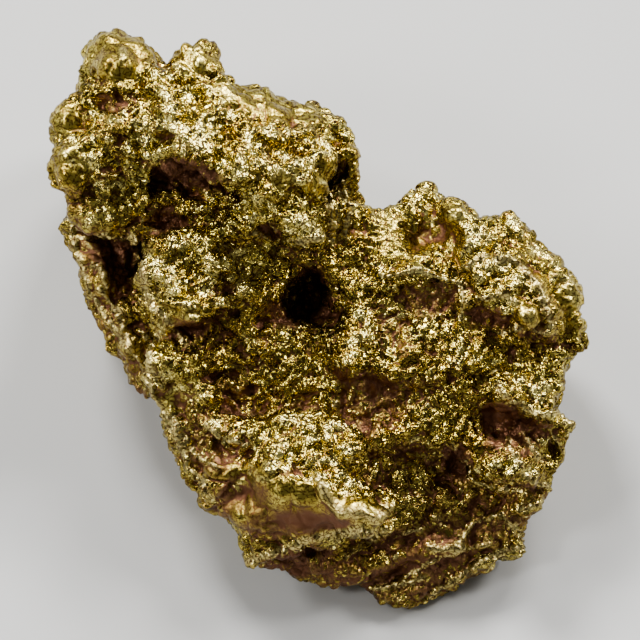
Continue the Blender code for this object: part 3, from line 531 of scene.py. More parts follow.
# Small raised blobs, painted in the highlight colour where light catches the grains
HIGHLIGHT_BLOBS = [
    Spot(-4.92, 10.68, 0.28, 0.2, 0, 1),  # upper knobs
    Spot(-4.68, 10.24, 0.28, 0.2, 0, 1),
    Spot(-5.36, 10, 0.24, 0.16, 0, 1),
    Spot(-8.96, 10.24, 0.24, 0.2, 0, 1),
    Spot(-7.84, 10.52, 0.2, 0.16, 0, 1),
    Spot(-6.4, 9.76, 0.36, 0.16, -40, 1),
    Spot(-6.08, 8.96, 0.32, 0.24, 0, 1),  # top slope
    Spot(-5.24, 9, 0.36, 0.24, 0, 1),
    Spot(-4.6, 9.12, 0.32, 0.2, 0, 1),
    Spot(-3.72, 9, 0.28, 0.32, -30, 1),
    Spot(-4.04, 8.68, 0.24, 0.16, 0, 1),
    Spot(-8.96, 8.28, 0.24, 0.24, 0, 1),
    Spot(-8.32, 7.88, 0.24, 0.2, 0, 1),
    Spot(-5.72, 8.28, 0.36, 0.28, -20, 1),
    Spot(-5.88, 7.72, 0.36, 0.28, 0, 1),
    Spot(-4.48, 7.64, 0.32, 0.48, 0, 1),
    Spot(-4.72, 6.96, 0.32, 0.28, 0, 1),
    Spot(-5.16, 7.2, 0.28, 0.24, 0, 1),
    Spot(-3.72, 8.16, 0.28, 0.2, 0, 1),
    Spot(-7.04, 7.64, 0.32, 0.24, -30, 1),
    Spot(-6.84, 7.08, 0.24, 0.2, 0, 1),
    Spot(-7.6, 6.76, 0.28, 0.28, 0, 1),
    Spot(-6.48, 6.64, 0.28, 0.2, 0, 1),
    Spot(-5.36, 7.56, 0.24, 0.2, 0, 1),
    Spot(-2.72, 7.28, 0.32, 0.24, -40, 1),
    Spot(-2.56, 6.76, 0.28, 0.24, 0, 1),
    Spot(-2, 7.44, 0.28, 0.4, 0, 1),
    Spot(-2.48, 6.24, 0.36, 0.24, 0, 1),  # crest edge
    Spot(-1.88, 6, 0.36, 0.24, 0, 1),
    Spot(-1.36, 6.6, 0.28, 0.24, 0, 1),
    Spot(-3, 6.4, 0.28, 0.24, 0, 1),
    Spot(-1.24, 6, 0.28, 0.2, 0, 1),
    Spot(-0.64, 6.16, 0.32, 0.24, 0, 1),
    Spot(-0.36, 7.28, 0.36, 0.24, -30, 1),
    Spot(-1.12, 7.4, 0.24, 0.2, 0, 1),
    Spot(0.08, 6.8, 0.32, 0.36, -40, 1),
    Spot(-0.8, 5.52, 0.32, 0.2, 0, 1),
    Spot(-3.08, 5.68, 0.28, 0.2, 0, 1),
    Spot(-3.68, 6.16, 0.24, 0.2, 0, 1),
    Spot(-9.2, 6.4, 0.24, 0.24, 0, 1),  # left bumps
    Spot(-8.92, 6.12, 0.2, 0.16, 0, 1),
    Spot(-9.72, 7.28, 0.2, 0.16, 0, 1),
    Spot(-8.68, 5.4, 0.24, 0.16, 0, 1),
    Spot(-8.48, 4.04, 0.28, 0.16, 0, 0.8),
    Spot(-9.2, 3.88, 0.24, 0.16, 0, 0.8),
    Spot(-2.32, 4.64, 0.44, 0.2, -35, 1),  # middle knob
    Spot(-1.92, 4.4, 0.32, 0.2, -30, 1),
    Spot(-0.64, 3.76, 0.4, 0.24, -25, 1),
    Spot(-0.96, 3.36, 0.36, 0.2, -10, 1),
    Spot(-0.24, 3.44, 0.28, 0.2, 0, 1),
    Spot(-4.84, 4.52, 0.32, 0.16, 0, 1),
    Spot(-4.36, 4.52, 0.24, 0.2, 0, 1),
    Spot(-5.84, 3.08, 0.28, 0.24, 0, 1),  # middle left
    Spot(-5.44, 2.96, 0.28, 0.2, 0, 1),
    Spot(-6.48, 2.16, 0.24, 0.32, 20, 1),
    Spot(-5.12, 2.56, 0.24, 0.2, 0, 1),
    Spot(-6.36, 1.56, 0.28, 0.24, 0, 1),
    Spot(-5.84, 1.16, 0.32, 0.28, 0, 1),
    Spot(-4.24, 1.68, 0.28, 0.2, -30, 1),
    Spot(-3.68, 2.16, 0.36, 0.24, 30, 1),
    Spot(-3.12, 2.68, 0.24, 0.16, 0, 1),
    Spot(-3, 1.2, 0.28, 0.28, 0, 1),
    Spot(-4.56, 1.12, 0.24, 0.2, 0, 1),
    Spot(-5.2, 0.8, 0.28, 0.24, 0, 1),
    Spot(-4.96, 0.08, 0.32, 0.2, 0, 0.9),
    Spot(-6.8, 2.32, 0.2, 0.24, 0, 1),
    Spot(-3.92, 0.72, 0.28, 0.2, 0, 1),
    Spot(-4.4, 2.32, 0.24, 0.2, 0, 1),
    Spot(4.08, 4.76, 0.24, 0.36, 0, 0.8),  # right lobe
    Spot(5.2, 4.12, 0.24, 0.32, 0, 1),
    Spot(5.52, 4.16, 0.2, 0.24, 0, 1),
    Spot(6.04, 3.6, 0.32, 0.24, 0, 1),
    Spot(6.52, 3.44, 0.32, 0.2, -20, 1),
    Spot(6.72, 3.08, 0.24, 0.28, 0, 1),
    Spot(5.88, 3.16, 0.2, 0.28, 0, 1),
    Spot(5.64, 2.76, 0.32, 0.16, 0, 1),
    Spot(7.72, 3.88, 0.32, 0.2, 0, 1),
    Spot(8, 3.48, 0.24, 0.2, 0, 1),
    Spot(8.52, 2.8, 0.24, 0.24, 0, 1),
    Spot(8.84, 2.64, 0.2, 0.24, 0, 1),
    Spot(9.36, 2.24, 0.24, 0.2, -40, 1),
    Spot(9.52, 1.68, 0.24, 0.24, -40, 1),
    Spot(9.88, 1.44, 0.16, 0.28, 20, 1),
    Spot(10.12, 0.88, 0.16, 0.28, 20, 1),
    Spot(6.92, 2.12, 0.28, 0.2, 0, 1),
    Spot(7.36, 2, 0.28, 0.2, 0, 1),
    Spot(6.52, 2.08, 0.24, 0.16, 0, 1),
    Spot(6.4, 1.68, 0.24, 0.2, 0, 1),
    Spot(7.72, 1.44, 0.28, 0.24, 0, 1),
    Spot(4, 1.88, 0.36, 0.16, -10, 1),
    Spot(4.84, 1.6, 0.32, 0.16, -10, 1),
    Spot(7.72, 0.68, 0.28, 0.16, 0, 1),
    Spot(7.48, 0.28, 0.24, 0.2, 0, 1),
    Spot(8.28, 0.24, 0.32, 0.24, 0, 0.9),
    Spot(1.72, 0.28, 0.28, 0.24, 0, 1),
    Spot(1.88, -0.68, 0.32, 0.24, 0, 1),
    Spot(1.2, -0.92, 0.24, 0.2, 0, 1),
    Spot(2.08, -0.2, 0.24, 0.2, 0, 1),
    Spot(1.4, -1.48, 0.28, 0.2, 0, 1),
    Spot(1, -1.84, 0.24, 0.16, 0, 1),
    Spot(7.88, -2.28, 0.32, 0.2, 0, 1),  # right ledges
    Spot(8.68, -2.92, 0.32, 0.2, -30, 1),
    Spot(9.08, -2.68, 0.24, 0.2, 0, 1),
    Spot(7.2, -2.68, 0.44, 0.16, -25, 1),
    Spot(8.28, -3.48, 0.32, 0.16, -20, 1),
    Spot(8.84, -3.6, 0.32, 0.16, -15, 1),
    Spot(9.48, -3.88, 0.28, 0.16, -20, 1),
    Spot(9.08, -4.92, 0.32, 0.16, 0, 0.9),
    Spot(7.72, -5.68, 0.36, 0.2, -20, 1),
    Spot(7.48, -5.92, 0.28, 0.2, 0, 1),
    Spot(6.92, -5.68, 0.24, 0.16, 0, 0.9),
    Spot(6.4, -6, 0.32, 0.2, -20, 0.9),
    Spot(8.4, -6, 0.28, 0.2, 0, 0.9),
    Spot(-1.28, -4.04, 0.32, 0.28, 0, 1),  # nose
    Spot(-1.48, -5.36, 0.36, 0.36, 35, 1),
    Spot(-1.92, -5.72, 0.28, 0.24, 35, 1),
    Spot(-0.72, -4, 0.2, 0.24, 0, 1),
    Spot(0.64, -4.12, 0.48, 0.24, 10, 1),
    Spot(0.28, -4.64, 0.28, 0.28, 0, 1),
    Spot(1, -5.36, 0.32, 0.36, -30, 1),
    Spot(-0.28, -4.64, 0.28, 0.24, 0, 1),
    Spot(0.64, -5.64, 0.28, 0.2, 0, 1),
    Spot(-0.28, -5.56, 0.24, 0.16, 0, 1),
    Spot(-0.12, -6.2, 0.4, 0.24, -20, 1),
    Spot(0.28, -6.76, 0.2, 0.4, -20, 1),
    Spot(1.24, -6.64, 0.32, 0.28, -30, 0.8),
    Spot(0.8, -6.32, 0.24, 0.2, 0, 0.9),
    Spot(-2.8, -6, 0.2, 0.24, 30, 1),
    Spot(-2.2, -6.32, 0.2, 0.16, 0, 1),
    Spot(-3.08, -4.56, 0.32, 0.16, 0, 0.9),
    Spot(-3.6, -4.8, 0.24, 0.16, 0, 0.9),
    Spot(-4.2, -4.2, 0.28, 0.2, 0, 0.8),
    Spot(-2.6, -3.8, 0.32, 0.16, 0, 0.8),
    Spot(-3.2, -6.64, 0.2, 0.24, 0, 0.9),
    Spot(-6, -2.2, 0.32, 0.2, 20, 0.9),  # left flank
    Spot(-5.6, -2.8, 0.24, 0.16, 0, 0.9),
    Spot(-6.6, -1.2, 0.2, 0.24, 0, 0.8),
    Spot(-6.2, -0.4, 0.24, 0.24, 0, 0.8),
    Spot(-4.6, -3, 0.24, 0.16, 0, 0.7),
    Spot(-3.68, -2.08, 0.24, 0.16, 0, 0.7),
]


def lattice_hash(x, y, z, salt):
    """A number from 0 to 1 for each cell of a lattice, the same on each run. The constants only mix bits."""
    mask = 0xFFFFFFFF
    h = (x * 0x8DA6B343 + y * 0xD8163841 + z * 0xCB1AB31F + salt * 0x9E3779B1) & mask
    h ^= h >> 16
    h = (h * 0x7FEB352D) & mask
    h ^= h >> 15
    h = (h * 0x846CA68B) & mask
    h ^= h >> 16
    return h / float(mask)


def smooth_noise(points, pitch, salt):
    """Noise from -1 to 1 that changes smoothly over about one pitch. Points and pitch are in millimetres."""
    q = points / pitch
    base = np.floor(q).astype(np.int64)
    share = q - base
    share = share * share * (3 - 2 * share)
    total = np.zeros(len(points))
    for dx, dy, dz in itertools.product((0, 1), repeat=3):
        weight = share[:, 0] if dx else 1 - share[:, 0]
        weight = weight * (share[:, 1] if dy else 1 - share[:, 1])
        weight = weight * (share[:, 2] if dz else 1 - share[:, 2])
        total += weight * lattice_hash(base[:, 0] + dx, base[:, 1] + dy, base[:, 2] + dz, salt)
    return 2 * total - 1


def wander(points, pitch, salt, count):
    """Smooth noise of its own in each of several directions."""
    return np.stack([smooth_noise(points, pitch, salt + k) for k in range(count)], 1)


def cells(points, pitch, salt):
    """The cells of a crystal-like mosaic: for each point its distance to the nearest and second nearest centre,
    the height of that cell's own tilted facet, and a number of that cell's own. Lengths are in pitches."""
    q = points / pitch
    base = np.floor(q).astype(np.int64)
    first = np.full(len(points), np.inf)
    second = np.full(len(points), np.inf)
    facet = np.zeros(len(points))
    own = np.zeros(len(points))
    for step in itertools.product((-1, 0, 1), repeat=3):
        x, y, z = (base + np.array(step)).T
        rolls = [lattice_hash(x, y, z, salt + k) for k in range(6)]
        offset = q - np.stack([x + rolls[0], y + rolls[1], z + rolls[2]], 1)
        away = np.linalg.norm(offset, axis=1)
        nearer = away < first
        second = np.where(nearer, first, np.minimum(second, away))
        tilt = np.stack(rolls[3:], 1) * 2 - 1
        facet = np.where(nearer, (offset * tilt).sum(1), facet)
        own = np.where(nearer, (rolls[3] + rolls[4]) % 1.0, own)
        first = np.where(nearer, away, first)
    return first, second, facet, own


def ramp(values, low, high):
    """0 at low, 1 at high and smooth between them."""
    t = np.clip((values - low) / (high - low), 0, 1)
    return t * t * (3 - 2 * t)


def link(obj):
    bpy.context.scene.collection.objects.link(obj)
    return obj


def bake(obj):
    """Gives an object the mesh that its modifiers make of it."""
    graph = bpy.context.evaluated_depsgraph_get()
    mesh = bpy.data.meshes.new_from_object(obj.evaluated_get(graph))
    obj.modifiers.clear()
    obj.data = mesh
    return obj


def add_modifier(obj, kind, **settings):
    modifier = obj.modifiers.new(kind.title(), kind)
    for key, value in settings.items():
        setattr(modifier, key, value)


def positions(mesh):
    co = np.zeros(len(mesh.vertices) * 3, np.float32)
    mesh.vertices.foreach_get("co", co)
    return co.reshape(-1, 3).astype(float)


def set_positions(mesh, co):
    mesh.vertices.foreach_set("co", co.astype(np.float32).ravel())
    mesh.update()


def normals(mesh):
    no = np.zeros(len(mesh.vertices) * 3, np.float32)
    mesh.vertex_normals.foreach_get("vector", no)
    return no.reshape(-1, 3).astype(float)


def edges_of(mesh):
    found = np.zeros(len(mesh.edges) * 2, np.int32)
    mesh.edges.foreach_get("vertices", found)
    return found.reshape(-1, 2)


def blurred(values, edges, rounds):
    """Values averaged over each vertex's neighbours, round after round."""
    a, b = edges.T
    count = np.bincount(a, minlength=len(values)) + np.bincount(b, minlength=len(values))
    for _ in range(rounds):
        total = np.bincount(a, values[b], len(values)) + np.bincount(b, values[a], len(values))
        values = 0.5 * values + 0.5 * total / count
    return values


def on_drawing(co):
    """Where points in metres lie on the drawing plane: across and up, in millimetres."""
    return ((co - np.array(PLANE_MIDDLE)) @ np.array(LEAN) / MM)[:, :2]


def facing_camera(no):
    """The normals as the drawing plane has them: across, up and toward the camera."""
    return no @ np.array(LEAN)


def welded(mesh, name):
    """A copy of a mesh in which neighbouring faces share their corners."""
    bm = bmesh.new()
    bm.from_mesh(mesh)
    bmesh.ops.remove_doubles(bm, verts=bm.verts, dist=WELD)
    copy = bpy.data.meshes.new(name)
    bm.to_mesh(copy)
    bm.free()
    return copy


def make_skin(node):
    """An even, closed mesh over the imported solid."""
    skin = link(bpy.data.objects.new("nugget_surface", welded(node.data, "nugget_surface")))
    add_modifier(skin, "SUBSURF", levels=1, render_levels=1)
    add_modifier(skin, "REMESH", mode="VOXEL", voxel_size=SKIN_GRID)
    add_modifier(skin, "SMOOTH", factor=0.5, iterations=4)
    return bake(skin)


def reach(flat, spot):
    """How far points on the drawing plane lie from a spot's middle: 1 at its edge."""
    turn = math.radians(spot.turn)
    across, up = flat[:, 0] - spot.across, flat[:, 1] - spot.up
    along = (across * math.cos(turn) + up * math.sin(turn)) / spot.long
    beside = (up * math.cos(turn) - across * math.sin(turn)) / spot.short
    return np.hypot(along, beside)


def covered(flat, spots, soft):
    """The greatest share that any of the spots gives each point, fading out over its edge."""
    share = np.zeros(len(flat))
    for spot in spots:
        share = np.maximum(share, spot.amount * ramp(reach(flat, spot), 1 + soft, 1 - soft))
    return share


def zones(mm, flat, front, spots, soft, patches):
    """A share that the spots give the camera's side, and random patches the other side."""
    elsewhere = patches.amount * ramp(smooth_noise(mm, patches.pitch, patches.salt), patches.low, patches.high)
    return np.maximum(covered(flat, spots, soft) * front, elsewhere * (1 - front))


def domes(flat, spots):
    """The heights of round swellings, the highest where they overlap."""
    height = np.zeros(len(flat))
    for spot in spots:
        height = np.maximum(height, spot.amount * np.sqrt(np.clip(1 - reach(flat, spot) ** 2, 0, 1)))
    return height


def beside_line(flat, line):
    """Distance from each point to a line of straight steps, in millimetres."""
    least = np.full(len(flat), np.inf)
    for start, end in zip(line, line[1:]):
        start, way = np.array(start), np.array(end) - np.array(start)
        share = np.clip(((flat - start) @ way) / (way @ way), 0, 1)
        least = np.minimum(least, np.linalg.norm(flat - start - share[:, None] * way, axis=1))
    return least


def on_ridge(flat, ridge):
    """1 on a ridge's line, fading out over its width."""
    return np.exp(-((beside_line(flat, ridge.line) / ridge.width) ** 2))


def grain_height(points, grains):
    near, far, facet, own = cells(points, grains.pitch, grains.salt)
    height = grains.dome * (DOME_FOOT - near**2) + grains.facet * facet
    height -= grains.gap * ramp(far - near, grains.gap_width, 0.0)
    return height + grains.uneven * (own - 0.5)


def shape_curves(mm):
    """How outlines of shapes wander at each point, in wide and in fine curves."""
    return [wander(mm, pitch, salt, 3) for pitch, salt in zip((WIDE_CURVE, FINE_CURVE), SHAPE_SALTS)]


def shape_places(co, wide, fine):
    return on_drawing(co) + 0.16 * wide[:, :2] + 0.07 * fine[:, :2]


def sculpt(skin):
    """Raises the measured shapes and the grains off the skin."""
    mesh = skin.data
    co, no = positions(mesh), normals(mesh)
    mm = co / MM
    wide, fine = shape_curves(mm)
    front = ramp(facing_camera(no)[:, 2], -0.1, 0.3)
    flat = shape_places(co, wide, fine)
    smooth = zones(mm, flat, front, SMOOTH, 0.35, SMOOTH_PATCHES)
    grainy = zones(mm, flat, front, GRAINY, 0.5, GRAINY_PATCHES)
    raised = domes(flat, BEADS) - domes(flat, PITS) + BLOB_HIGH * domes(flat, HIGHLIGHT_BLOBS)
    for ridge in RIDGES:
        raised = raised + ridge.height * on_ridge(flat, ridge)
    height = raised * front
    bent = mm + 0.25 * wide + 0.06 * fine
    for layer in GRAIN_LAYERS:
        kept = grain_height(bent, layer) * (1 - layer.worn * smooth)
        height += kept * (layer.plain + layer.grainy * grainy)
    height *= ramp(mm[:, 2], *REST_FADE)
    moved = co + no * (height * MM)[:, None]
    above = np.maximum(moved[:, 2] - co[:, 2].max(), 0)
    moved[:, 2] += MOST_ABOVE * (1 - np.exp(-above / MOST_ABOVE)) - above
    set_positions(mesh, moved)


def thin_out(skin, share):
    """Keeps this share of the triangles, with the most where the surface faces the camera."""
    no = normals(skin.data)
    outward = OTHER_SIDES * ramp(no[:, 2], -0.95, -0.6)
    kept = np.maximum(ramp(facing_camera(no)[:, 2], -0.2, 0.4), outward)
    loose = np.round(1 - MOST_KEPT * kept, 1)
    group = skin.vertex_groups.new(name="loose")
    for level in np.unique(loose):
        group.add(np.flatnonzero(loose == level).tolist(), float(level), "REPLACE")
    add_modifier(skin, "DECIMATE", ratio=share, vertex_group="loose", vertex_group_factor=FACING_FACTOR)
    bake(skin)
    skin.vertex_groups.clear()


def keep_within_limit(skin):
    """Thins the skin to no more than MOST_TRIANGLES triangles."""
    add_modifier(skin, "TRIANGULATE")
    bake(skin)
    count = len(skin.data.polygons)
    if count > MOST_TRIANGLES:
        thin_out(skin, MOST_TRIANGLES / count)
        count = len(skin.data.polygons)
    if count > MOST_TRIANGLES:
        add_modifier(skin, "DECIMATE", ratio=MOST_TRIANGLES / count)
        bake(skin)
    if len(skin.data.polygons) >= TRIANGLE_LIMIT:
        raise RuntimeError("the skin has too many triangles")
    co = positions(skin.data)
    co[:, 2] = np.maximum(co[:, 2], 0)
    set_positions(skin.data, co)


def hollowness(co, no, edges, rounds, full):
    """How deep each vertex lies in its surroundings: 0.5 where it is level, and 1 at the full depth."""
    middle = np.stack([blurred(co[:, axis], edges, rounds) for axis in range(3)], 1)
    depth = ((middle - co) * no).sum(1) / MM
    return np.clip(depth / full * 0.5 + 0.5, 0, 1)


def openness(mesh):
    """For each vertex, the share of the sky over it that the mesh itself doesn't hide."""
    tree = BVHTree.FromPolygons([v.co for v in mesh.vertices], [p.vertices for p in mesh.polygons])
    turn = math.pi * (3 - math.sqrt(5))
    rays = []
    for k in range(SKY_RAYS):
        rise = 1 - (k + 0.5) / SKY_RAYS
        flat = math.sqrt(1 - rise * rise)
        rays.append(Vector((flat * math.cos(turn * k), flat * math.sin(turn * k), rise)))
    share = []
    for vertex in mesh.vertices:
        aim = vertex.normal.to_track_quat("Z", "Y")
        start = vertex.co + vertex.normal * SKY_START
        seen = sum(ray.z for ray in rays if tree.ray_cast(start, aim @ ray, SKY_REACH)[0] is None)
        share.append(seen / sum(ray.z for ray in rays))
    return np.array(share)


def spread_to(co, from_co, values):
    """Values carried from one set of points to another, each from the nearest three."""
    tree = KDTree(len(from_co))
    for index, point in enumerate(from_co):
        tree.insert(point, index)
    tree.balance()
    out = np.zeros(len(co))
    for index, point in enumerate(co):
        near = tree.find_n(point, 3)
        weights = [1 / (distance + 1e-6) for _, _, distance in near]
        out[index] = sum(w * values[i] for w, (_, i, _) in zip(weights, near)) / sum(weights)
    return out


def mark(skin, node):
    """Stores on the skin what its colour depends on."""
    mesh = skin.data
    co, no, edges = positions(mesh), normals(mesh), edges_of(mesh)
    mm = co / MM
    facing = facing_camera(no)
    front = ramp(facing[:, 2], -0.3, 0.1)
    plain = welded(node.data, "plain")
    sky = spread_to(co, positions(plain), openness(plain))
    wide, fine = (wander(mm, pitch, salt, 2) for pitch, salt in zip((WIDE_CURVE, FINE_CURVE), STAIN_SALTS))
    flat = on_drawing(co) + 0.2 * (wide + 0.5 * fine)
    shape_flat = shape_places(co, *shape_curves(mm))
    edge = np.zeros(len(co))
    for ridge in RIDGES:
        edge = np.maximum(edge, on_ridge(shape_flat, ridge))
    shares = {
        "fine_hollow": hollowness(co, no, edges, FINE_ROUNDS, FINE_DEPTH),
        "hollow": hollowness(co, no, edges, HOLLOW_ROUNDS, HOLLOW_DEPTH),
        # sky and under carry painted shade into the brown, like the hollows
        "sky": blurred(sky, edges, SKY_ROUNDS),
        "under": ramp(-blurred(facing[:, 1], edges, FACING_ROUNDS), 0.05, 0.7),
        "smooth": zones(mm, flat, front, SMOOTH, 0.35, SMOOTH_PATCHES),
        "stain_shade_spots": zones(mm, flat, front, STAIN_AND_SHADE_SPOTS, 0.5, STAIN_PATCHES),
        "bright": covered(flat, PAINTED_LIGHT_SPOTS, 0.5) * front,
        "grainy": zones(mm, flat, front, GRAINY, 0.6, GRAINY_PATCHES),
        "highlight_blob": covered(shape_flat, HIGHLIGHT_BLOBS, 0.5) * front,
        "edge": edge * front,
    }
    for name in MARKS:
        attribute = mesh.attributes.new(name, "FLOAT", "POINT")
        attribute.data.foreach_set("value", shares[name].astype(np.float32))


class Nodes:
    """Short calls for building a node tree."""

    def __init__(self, tree):
        self.tree = tree

    def add(self, kind, inputs=None, **settings):
        node = self.tree.nodes.new(kind)
        for key, value in settings.items():
            setattr(node, key, value)
        self.set(node, inputs or {})
        return node

    def set(self, node, inputs):
        for key, value in inputs.items():
            if isinstance(value, bpy.types.NodeSocket):
                self.tree.links.new(value, node.inputs[key])
            else:
                node.inputs[key].default_value = value

    def math(self, operation, a, b=0.0):
        return self.add("ShaderNodeMath", {0: a, 1: b}, operation=operation).outputs[0]

    def plus(self, *values):
        return functools.reduce(lambda a, b: self.math("ADD", a, b), values)

    def minus(self, a, b):
        return self.math("SUBTRACT", a, b)

    def times(self, a, b):
        return self.math("MULTIPLY", a, b)

    def vector(self, operation, a, b=(0, 0, 0)):
        return self.add("ShaderNodeVectorMath", {0: a, 1: b}, operation=operation).outputs[0]

    def scaled(self, a, by):
        return self.add("ShaderNodeVectorMath", {0: a, "Scale": by}, operation="SCALE").outputs[0]

    def centred(self, colour):
        return self.vector("SUBTRACT", colour, (0.5, 0.5, 0.5))

    def span(self, value, low, high, to_low=0.0, to_high=1.0, interpolation="SMOOTHSTEP"):
        inputs = {"Value": value, "From Min": low, "From Max": high, "To Min": to_low, "To Max": to_high}
        return self.add("ShaderNodeMapRange", inputs, interpolation_type=interpolation).outputs[0]

    def mix(self, share, a, b):
        return self.add("ShaderNodeMix", {"Factor": share, "A": a, "B": b}, data_type="RGBA").outputs["Result"]

    def noise(self, place, scale, detail, roughness=0.5):
        inputs = {"Vector": place, "Scale": scale, "Detail": detail, "Roughness": roughness}
        return self.add("ShaderNodeTexNoise", inputs).outputs

    def mosaic(self, place, scale, feature="F1"):
        return self.add("ShaderNodeTexVoronoi", {"Vector": place, "Scale": scale}, feature=feature).outputs

    def own(self, cell, channel):
        """A number of each cell's own."""
        return self.add("ShaderNodeSeparateColor", {"Color": cell["Color"]}).outputs[channel]


class Gold(Nodes):
    """Rough natural gold: grains with painted shade in the gaps, iron staining with painted shade in the recesses
    and on the down-facing sides, and painted highlights.
    """

    def __init__(self, tree):
        super().__init__(tree)
        place = self.scaled(self.add("ShaderNodeTexCoord").outputs["Object"], 1 / MM)
        wobble = self.noise(place, 3.0, 2.0)["Color"]
        self.bent = self.vector("ADD", place, self.scaled(self.centred(wobble), BEND))
        self.grains = self.mosaic(self.bent, GRAIN_SCALE)
        self.drops = self.mosaic(self.bent, DROP_SCALE)
        self.gaps = self.mosaic(self.bent, GRAIN_SCALE, "DISTANCE_TO_EDGE")["Distance"]
        self.fine = self.noise(place, 9.0, 2.0)["Fac"]
        self.patches = self.noise(place, 0.42, 4.0, 0.6)["Fac"]
        self.share = {
            name: self.add("ShaderNodeAttribute", attribute_name=name).outputs["Fac"] for name in MARKS
        }

    def dome(self, cell, high):
        """A round top on each cell, higher on some than on others."""
        round_top = self.minus(DOME_FOOT, self.math("POWER", cell["Distance"], 2.0))
        return self.times(self.times(round_top, high), self.span(self.own(cell, 0), 0.0, 1.0, 0.4, 1.2))

    def normal(self):
        """Bumps of grains, drops and creases, and a tilt of its own for each grain and drop."""
        worms = self.noise(self.bent, 3.2, 2.0)["Fac"]
        crease = self.math("ABSOLUTE", self.minus(worms, 0.5))
        grainy = self.share["grainy"]
        height = self.plus(
            self.dome(self.grains, self.span(grainy, 0.0, 1.0, 0.2 * GRAIN_HIGH, GRAIN_HIGH)),
            self.dome(self.drops, DROP_HIGH),
            self.times(self.span(crease, 0.0, 0.09), -CREASE_DEEP),
            self.times(self.fine, FINE_HIGH),
        )
        rough = self.times(
            self.span(self.share["smooth"], 0.0, 1.0, 1.0, 0.12),
            self.span(self.share["edge"], 0.3, 0.9, 1.0, 0.4),
        )
        inputs = {"Strength": BUMP, "Distance": 1.0 * MM, "Height": self.times(height, rough)}
        bumped = self.add("ShaderNodeBump", inputs).outputs["Normal"]
        grain_tilt = self.span(grainy, 0.0, 1.0, 0.5 * TILT, 1.1 * TILT)
        tilt = self.vector(
            "ADD",
            self.scaled(self.centred(self.grains["Color"]), grain_tilt),
            self.scaled(self.centred(self.drops["Color"]), TILT),
        )
        return self.vector("NORMALIZE", self.vector("ADD", bumped, self.scaled(tilt, rough)))

    def stain_and_shade(self):
        """The share of brown, iron staining and painted shade: most in the hollows, where the solid hides the
        sky, on the down-facing sides and in the measured spots, none on some grains.
        """
        causes = (self.span(self.share[name], *ends, 0.0, weight) for name, ends, weight in STAIN_AND_SHADE_CAUSES)
        depth = self.plus(*causes, self.times(self.share["under"], UNDER_SHADE_WEIGHT))
        depth = self.times(depth, self.span(self.patches, 0.3, 0.65, 0.55, 1.2))
        for name, weight in STAIN_AND_SHADE_WEIGHTS.items():
            depth = self.plus(depth, self.times(self.share[name], weight))
        cleaner = self.times(self.span(self.own(self.grains, 2), 0.62, 0.72), self.span(self.gaps, 0.04, 0.12))
        depth = self.minus(depth, self.times(cleaner, self.span(self.share["smooth"], 0.3, 0.9, 0.6, 0.0)))
        return self.span(depth, 0.3, 1.35)

    def tone(self, grain_own, drop_own):
        """How light each grain and drop is, and more even on the smooth zones."""
        contrast = self.span(self.share["grainy"], 0.0, 1.0, 0.2, 0.7)
        tone = self.plus(
            0.7, self.times(self.minus(grain_own, 0.4), contrast), self.span(drop_own, 0.0, 1.0, 0.0, 0.5)
        )
        return self.plus(tone, self.times(self.minus(1.1, tone), self.share["smooth"]))

    def colour(self, stain_and_shade):
        drop_own, grain_own = self.own(self.drops, 1), self.own(self.grains, 1)
        clumps = self.noise(self.bent, 1.05, 2.5, 0.6)["Fac"]
        # random clumps and tones of each grain, raised by the painted light spots: high gives the painted
        # highlight, low the darker olive
        light_and_tone = self.plus(
            self.times(clumps, 3.0),
            self.times(drop_own, 0.4),
            self.times(grain_own, 0.4),
            self.times(self.share["bright"], 0.4),
            self.times(self.share["smooth"], -0.3),
        )
        # painted highlight on the drop tops where the clumps run high
        painted_highlight = self.times(self.span(light_and_tone, 2.15, 2.5), self.span(self.drops["Distance"], 0.62, 0.30))
        # the measured blobs get the painted highlight too, less on the smooth zones
        highlight_blob = self.times(self.share["highlight_blob"], self.span(self.share["smooth"], 0.2, 1.0, 0.9, 0.35))
        # painted shade in the gaps, broken by fine noise
        between = self.times(self.span(self.gaps, 0.17, 0.04), self.span(self.fine, 0.35, 0.55))
        colour = self.mix(self.span(self.patches, 0.35, 0.65), CLEAN, CLEAN_WARM)
        colour = self.mix(self.span(light_and_tone, 2.0, 1.45, 0.0, 0.8), colour, OLIVE)
        colour = self.scaled(colour, self.tone(grain_own, drop_own))
        colour = self.mix(self.math("MAXIMUM", painted_highlight, highlight_blob), colour, PAINTED_HIGHLIGHT_GOLD)
        # painted highlight along the ridges
        colour = self.mix(self.times(self.share["edge"], 0.75), colour, RIDGE_HIGHLIGHT)
        colour = self.mix(self.times(between, GAP_SHADE_SHARE), colour, GAP_SHADE)
        # iron staining and painted shade over all
        return self.mix(stain_and_shade, colour, STAIN_AND_SHADE_BROWN)

    def roughness(self, stain_and_shade):
        worn = (self.times(self.share[name], WORN_ROUGH) for name in ("edge", "smooth"))
        return self.plus(self.span(stain_and_shade, 0.0, 1.0, ROUGH, STAIN_AND_SHADE_ROUGH), *worn)


def paint_gold(skin):
    material = bpy.data.materials.new("natural_gold")
    material.use_nodes = True
    gold = Gold(material.node_tree)
    stain_and_shade = gold.stain_and_shade()
    look = {
        "Base Color": gold.colour(stain_and_shade),
        "Roughness": gold.roughness(stain_and_shade),
        "Metallic": gold.span(stain_and_shade, 0.4, 1.0, 1.0, STAIN_AND_SHADE_METAL),
        "Normal": gold.normal(),
    }
    gold.set(gold.tree.nodes["Principled BSDF"], look)
    skin.data.materials.clear()
    skin.data.materials.append(material)


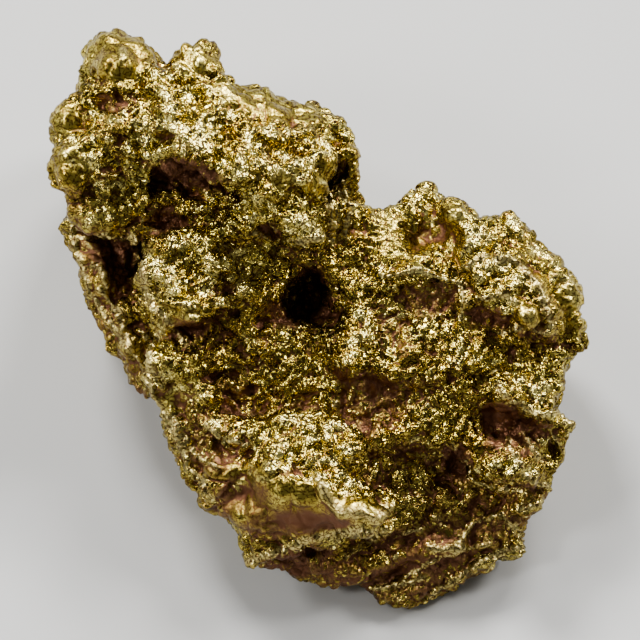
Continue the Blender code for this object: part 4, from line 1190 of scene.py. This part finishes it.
def add_camera():
    camera = link(bpy.data.objects.new("camera", bpy.data.cameras.new("camera")))
    camera.data.lens = LENS
    camera.data.sensor_width = SENSOR
    camera.data.clip_start = 0.01
    camera.data.clip_end = 20
    toward = LEAN @ Vector((0, 0, 1))
    camera.location = PLANE_MIDDLE + toward * (PLANE_WIDTH * LENS / SENSOR)
    camera.rotation_euler = toward.to_track_quat("Z", "Y").to_euler()
    bpy.context.scene.camera = camera


def add_floor():
    bpy.ops.mesh.primitive_plane_add(size=FLOOR_SIZE)
    floor = bpy.context.object
    floor.name = "floor"
    paint = bpy.data.materials.new("floor")
    paint.use_nodes = True
    n = Nodes(paint.node_tree)
    place = n.add("ShaderNodeSeparateXYZ", {"Vector": n.add("ShaderNodeTexCoord").outputs["Object"]}).outputs
    square = n.plus(*(n.math("POWER", place[axis], 2.0) for axis in (0, 1)))
    look = {
        "Emission Strength": n.span(n.math("POWER", square, 0.5), *FLOOR_FADE, 0.0, FAR_LIGHT),
        "Emission Color": WHITE,
        "Base Color": FLOOR_COLOUR,
        "Roughness": FLOOR_ROUGH,
    }
    n.set(n.tree.nodes["Principled BSDF"], look)
    floor.data.materials.append(paint)


def add_world():
    """Even walls, paler in a low strip all round."""
    world = bpy.data.worlds.new("studio")
    world.use_nodes = True
    n = Nodes(world.node_tree)
    way = n.add("ShaderNodeSeparateXYZ", {"Vector": n.add("ShaderNodeTexCoord").outputs["Generated"]}).outputs
    glow = n.span(way["Z"], *HORIZON_BAND, HORIZON, WORLD, interpolation="LINEAR")
    n.set(n.tree.nodes["Background"], {"Strength": glow, "Color": WHITE})
    bpy.context.scene.world = world


def add_lamp(name, way, size, power):
    """A softbox that faces the nugget. way is across, up and toward the camera on the drawing plane."""
    light = bpy.data.lights.new(name, "AREA")
    light.shape = "RECTANGLE"
    light.size = size
    light.size_y = size
    light.energy = power
    lamp = link(bpy.data.objects.new(name, light))
    direction = (LEAN @ Vector(way)).normalized()
    lamp.location = PLANE_MIDDLE + direction * LAMP_DISTANCE
    lamp.rotation_euler = direction.to_track_quat("Z", "Y").to_euler()
    lamp.visible_camera = False


def studio():
    add_camera()
    add_floor()
    add_world()
    for lamp in LAMPS:
        add_lamp(*lamp)
    bpy.context.scene.view_settings.view_transform = "AgX"
    bpy.context.scene.view_settings.look = "AgX - Medium High Contrast"


def main():
    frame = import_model()
    node = frame["nodes"]["nugget"]
    skin = make_skin(node)
    sculpt(skin)
    keep_within_limit(skin)
    skin.data.shade_smooth()
    mark(skin, node)
    paint_gold(skin)
    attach(skin, "root")
    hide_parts("nugget")
    studio()


main()
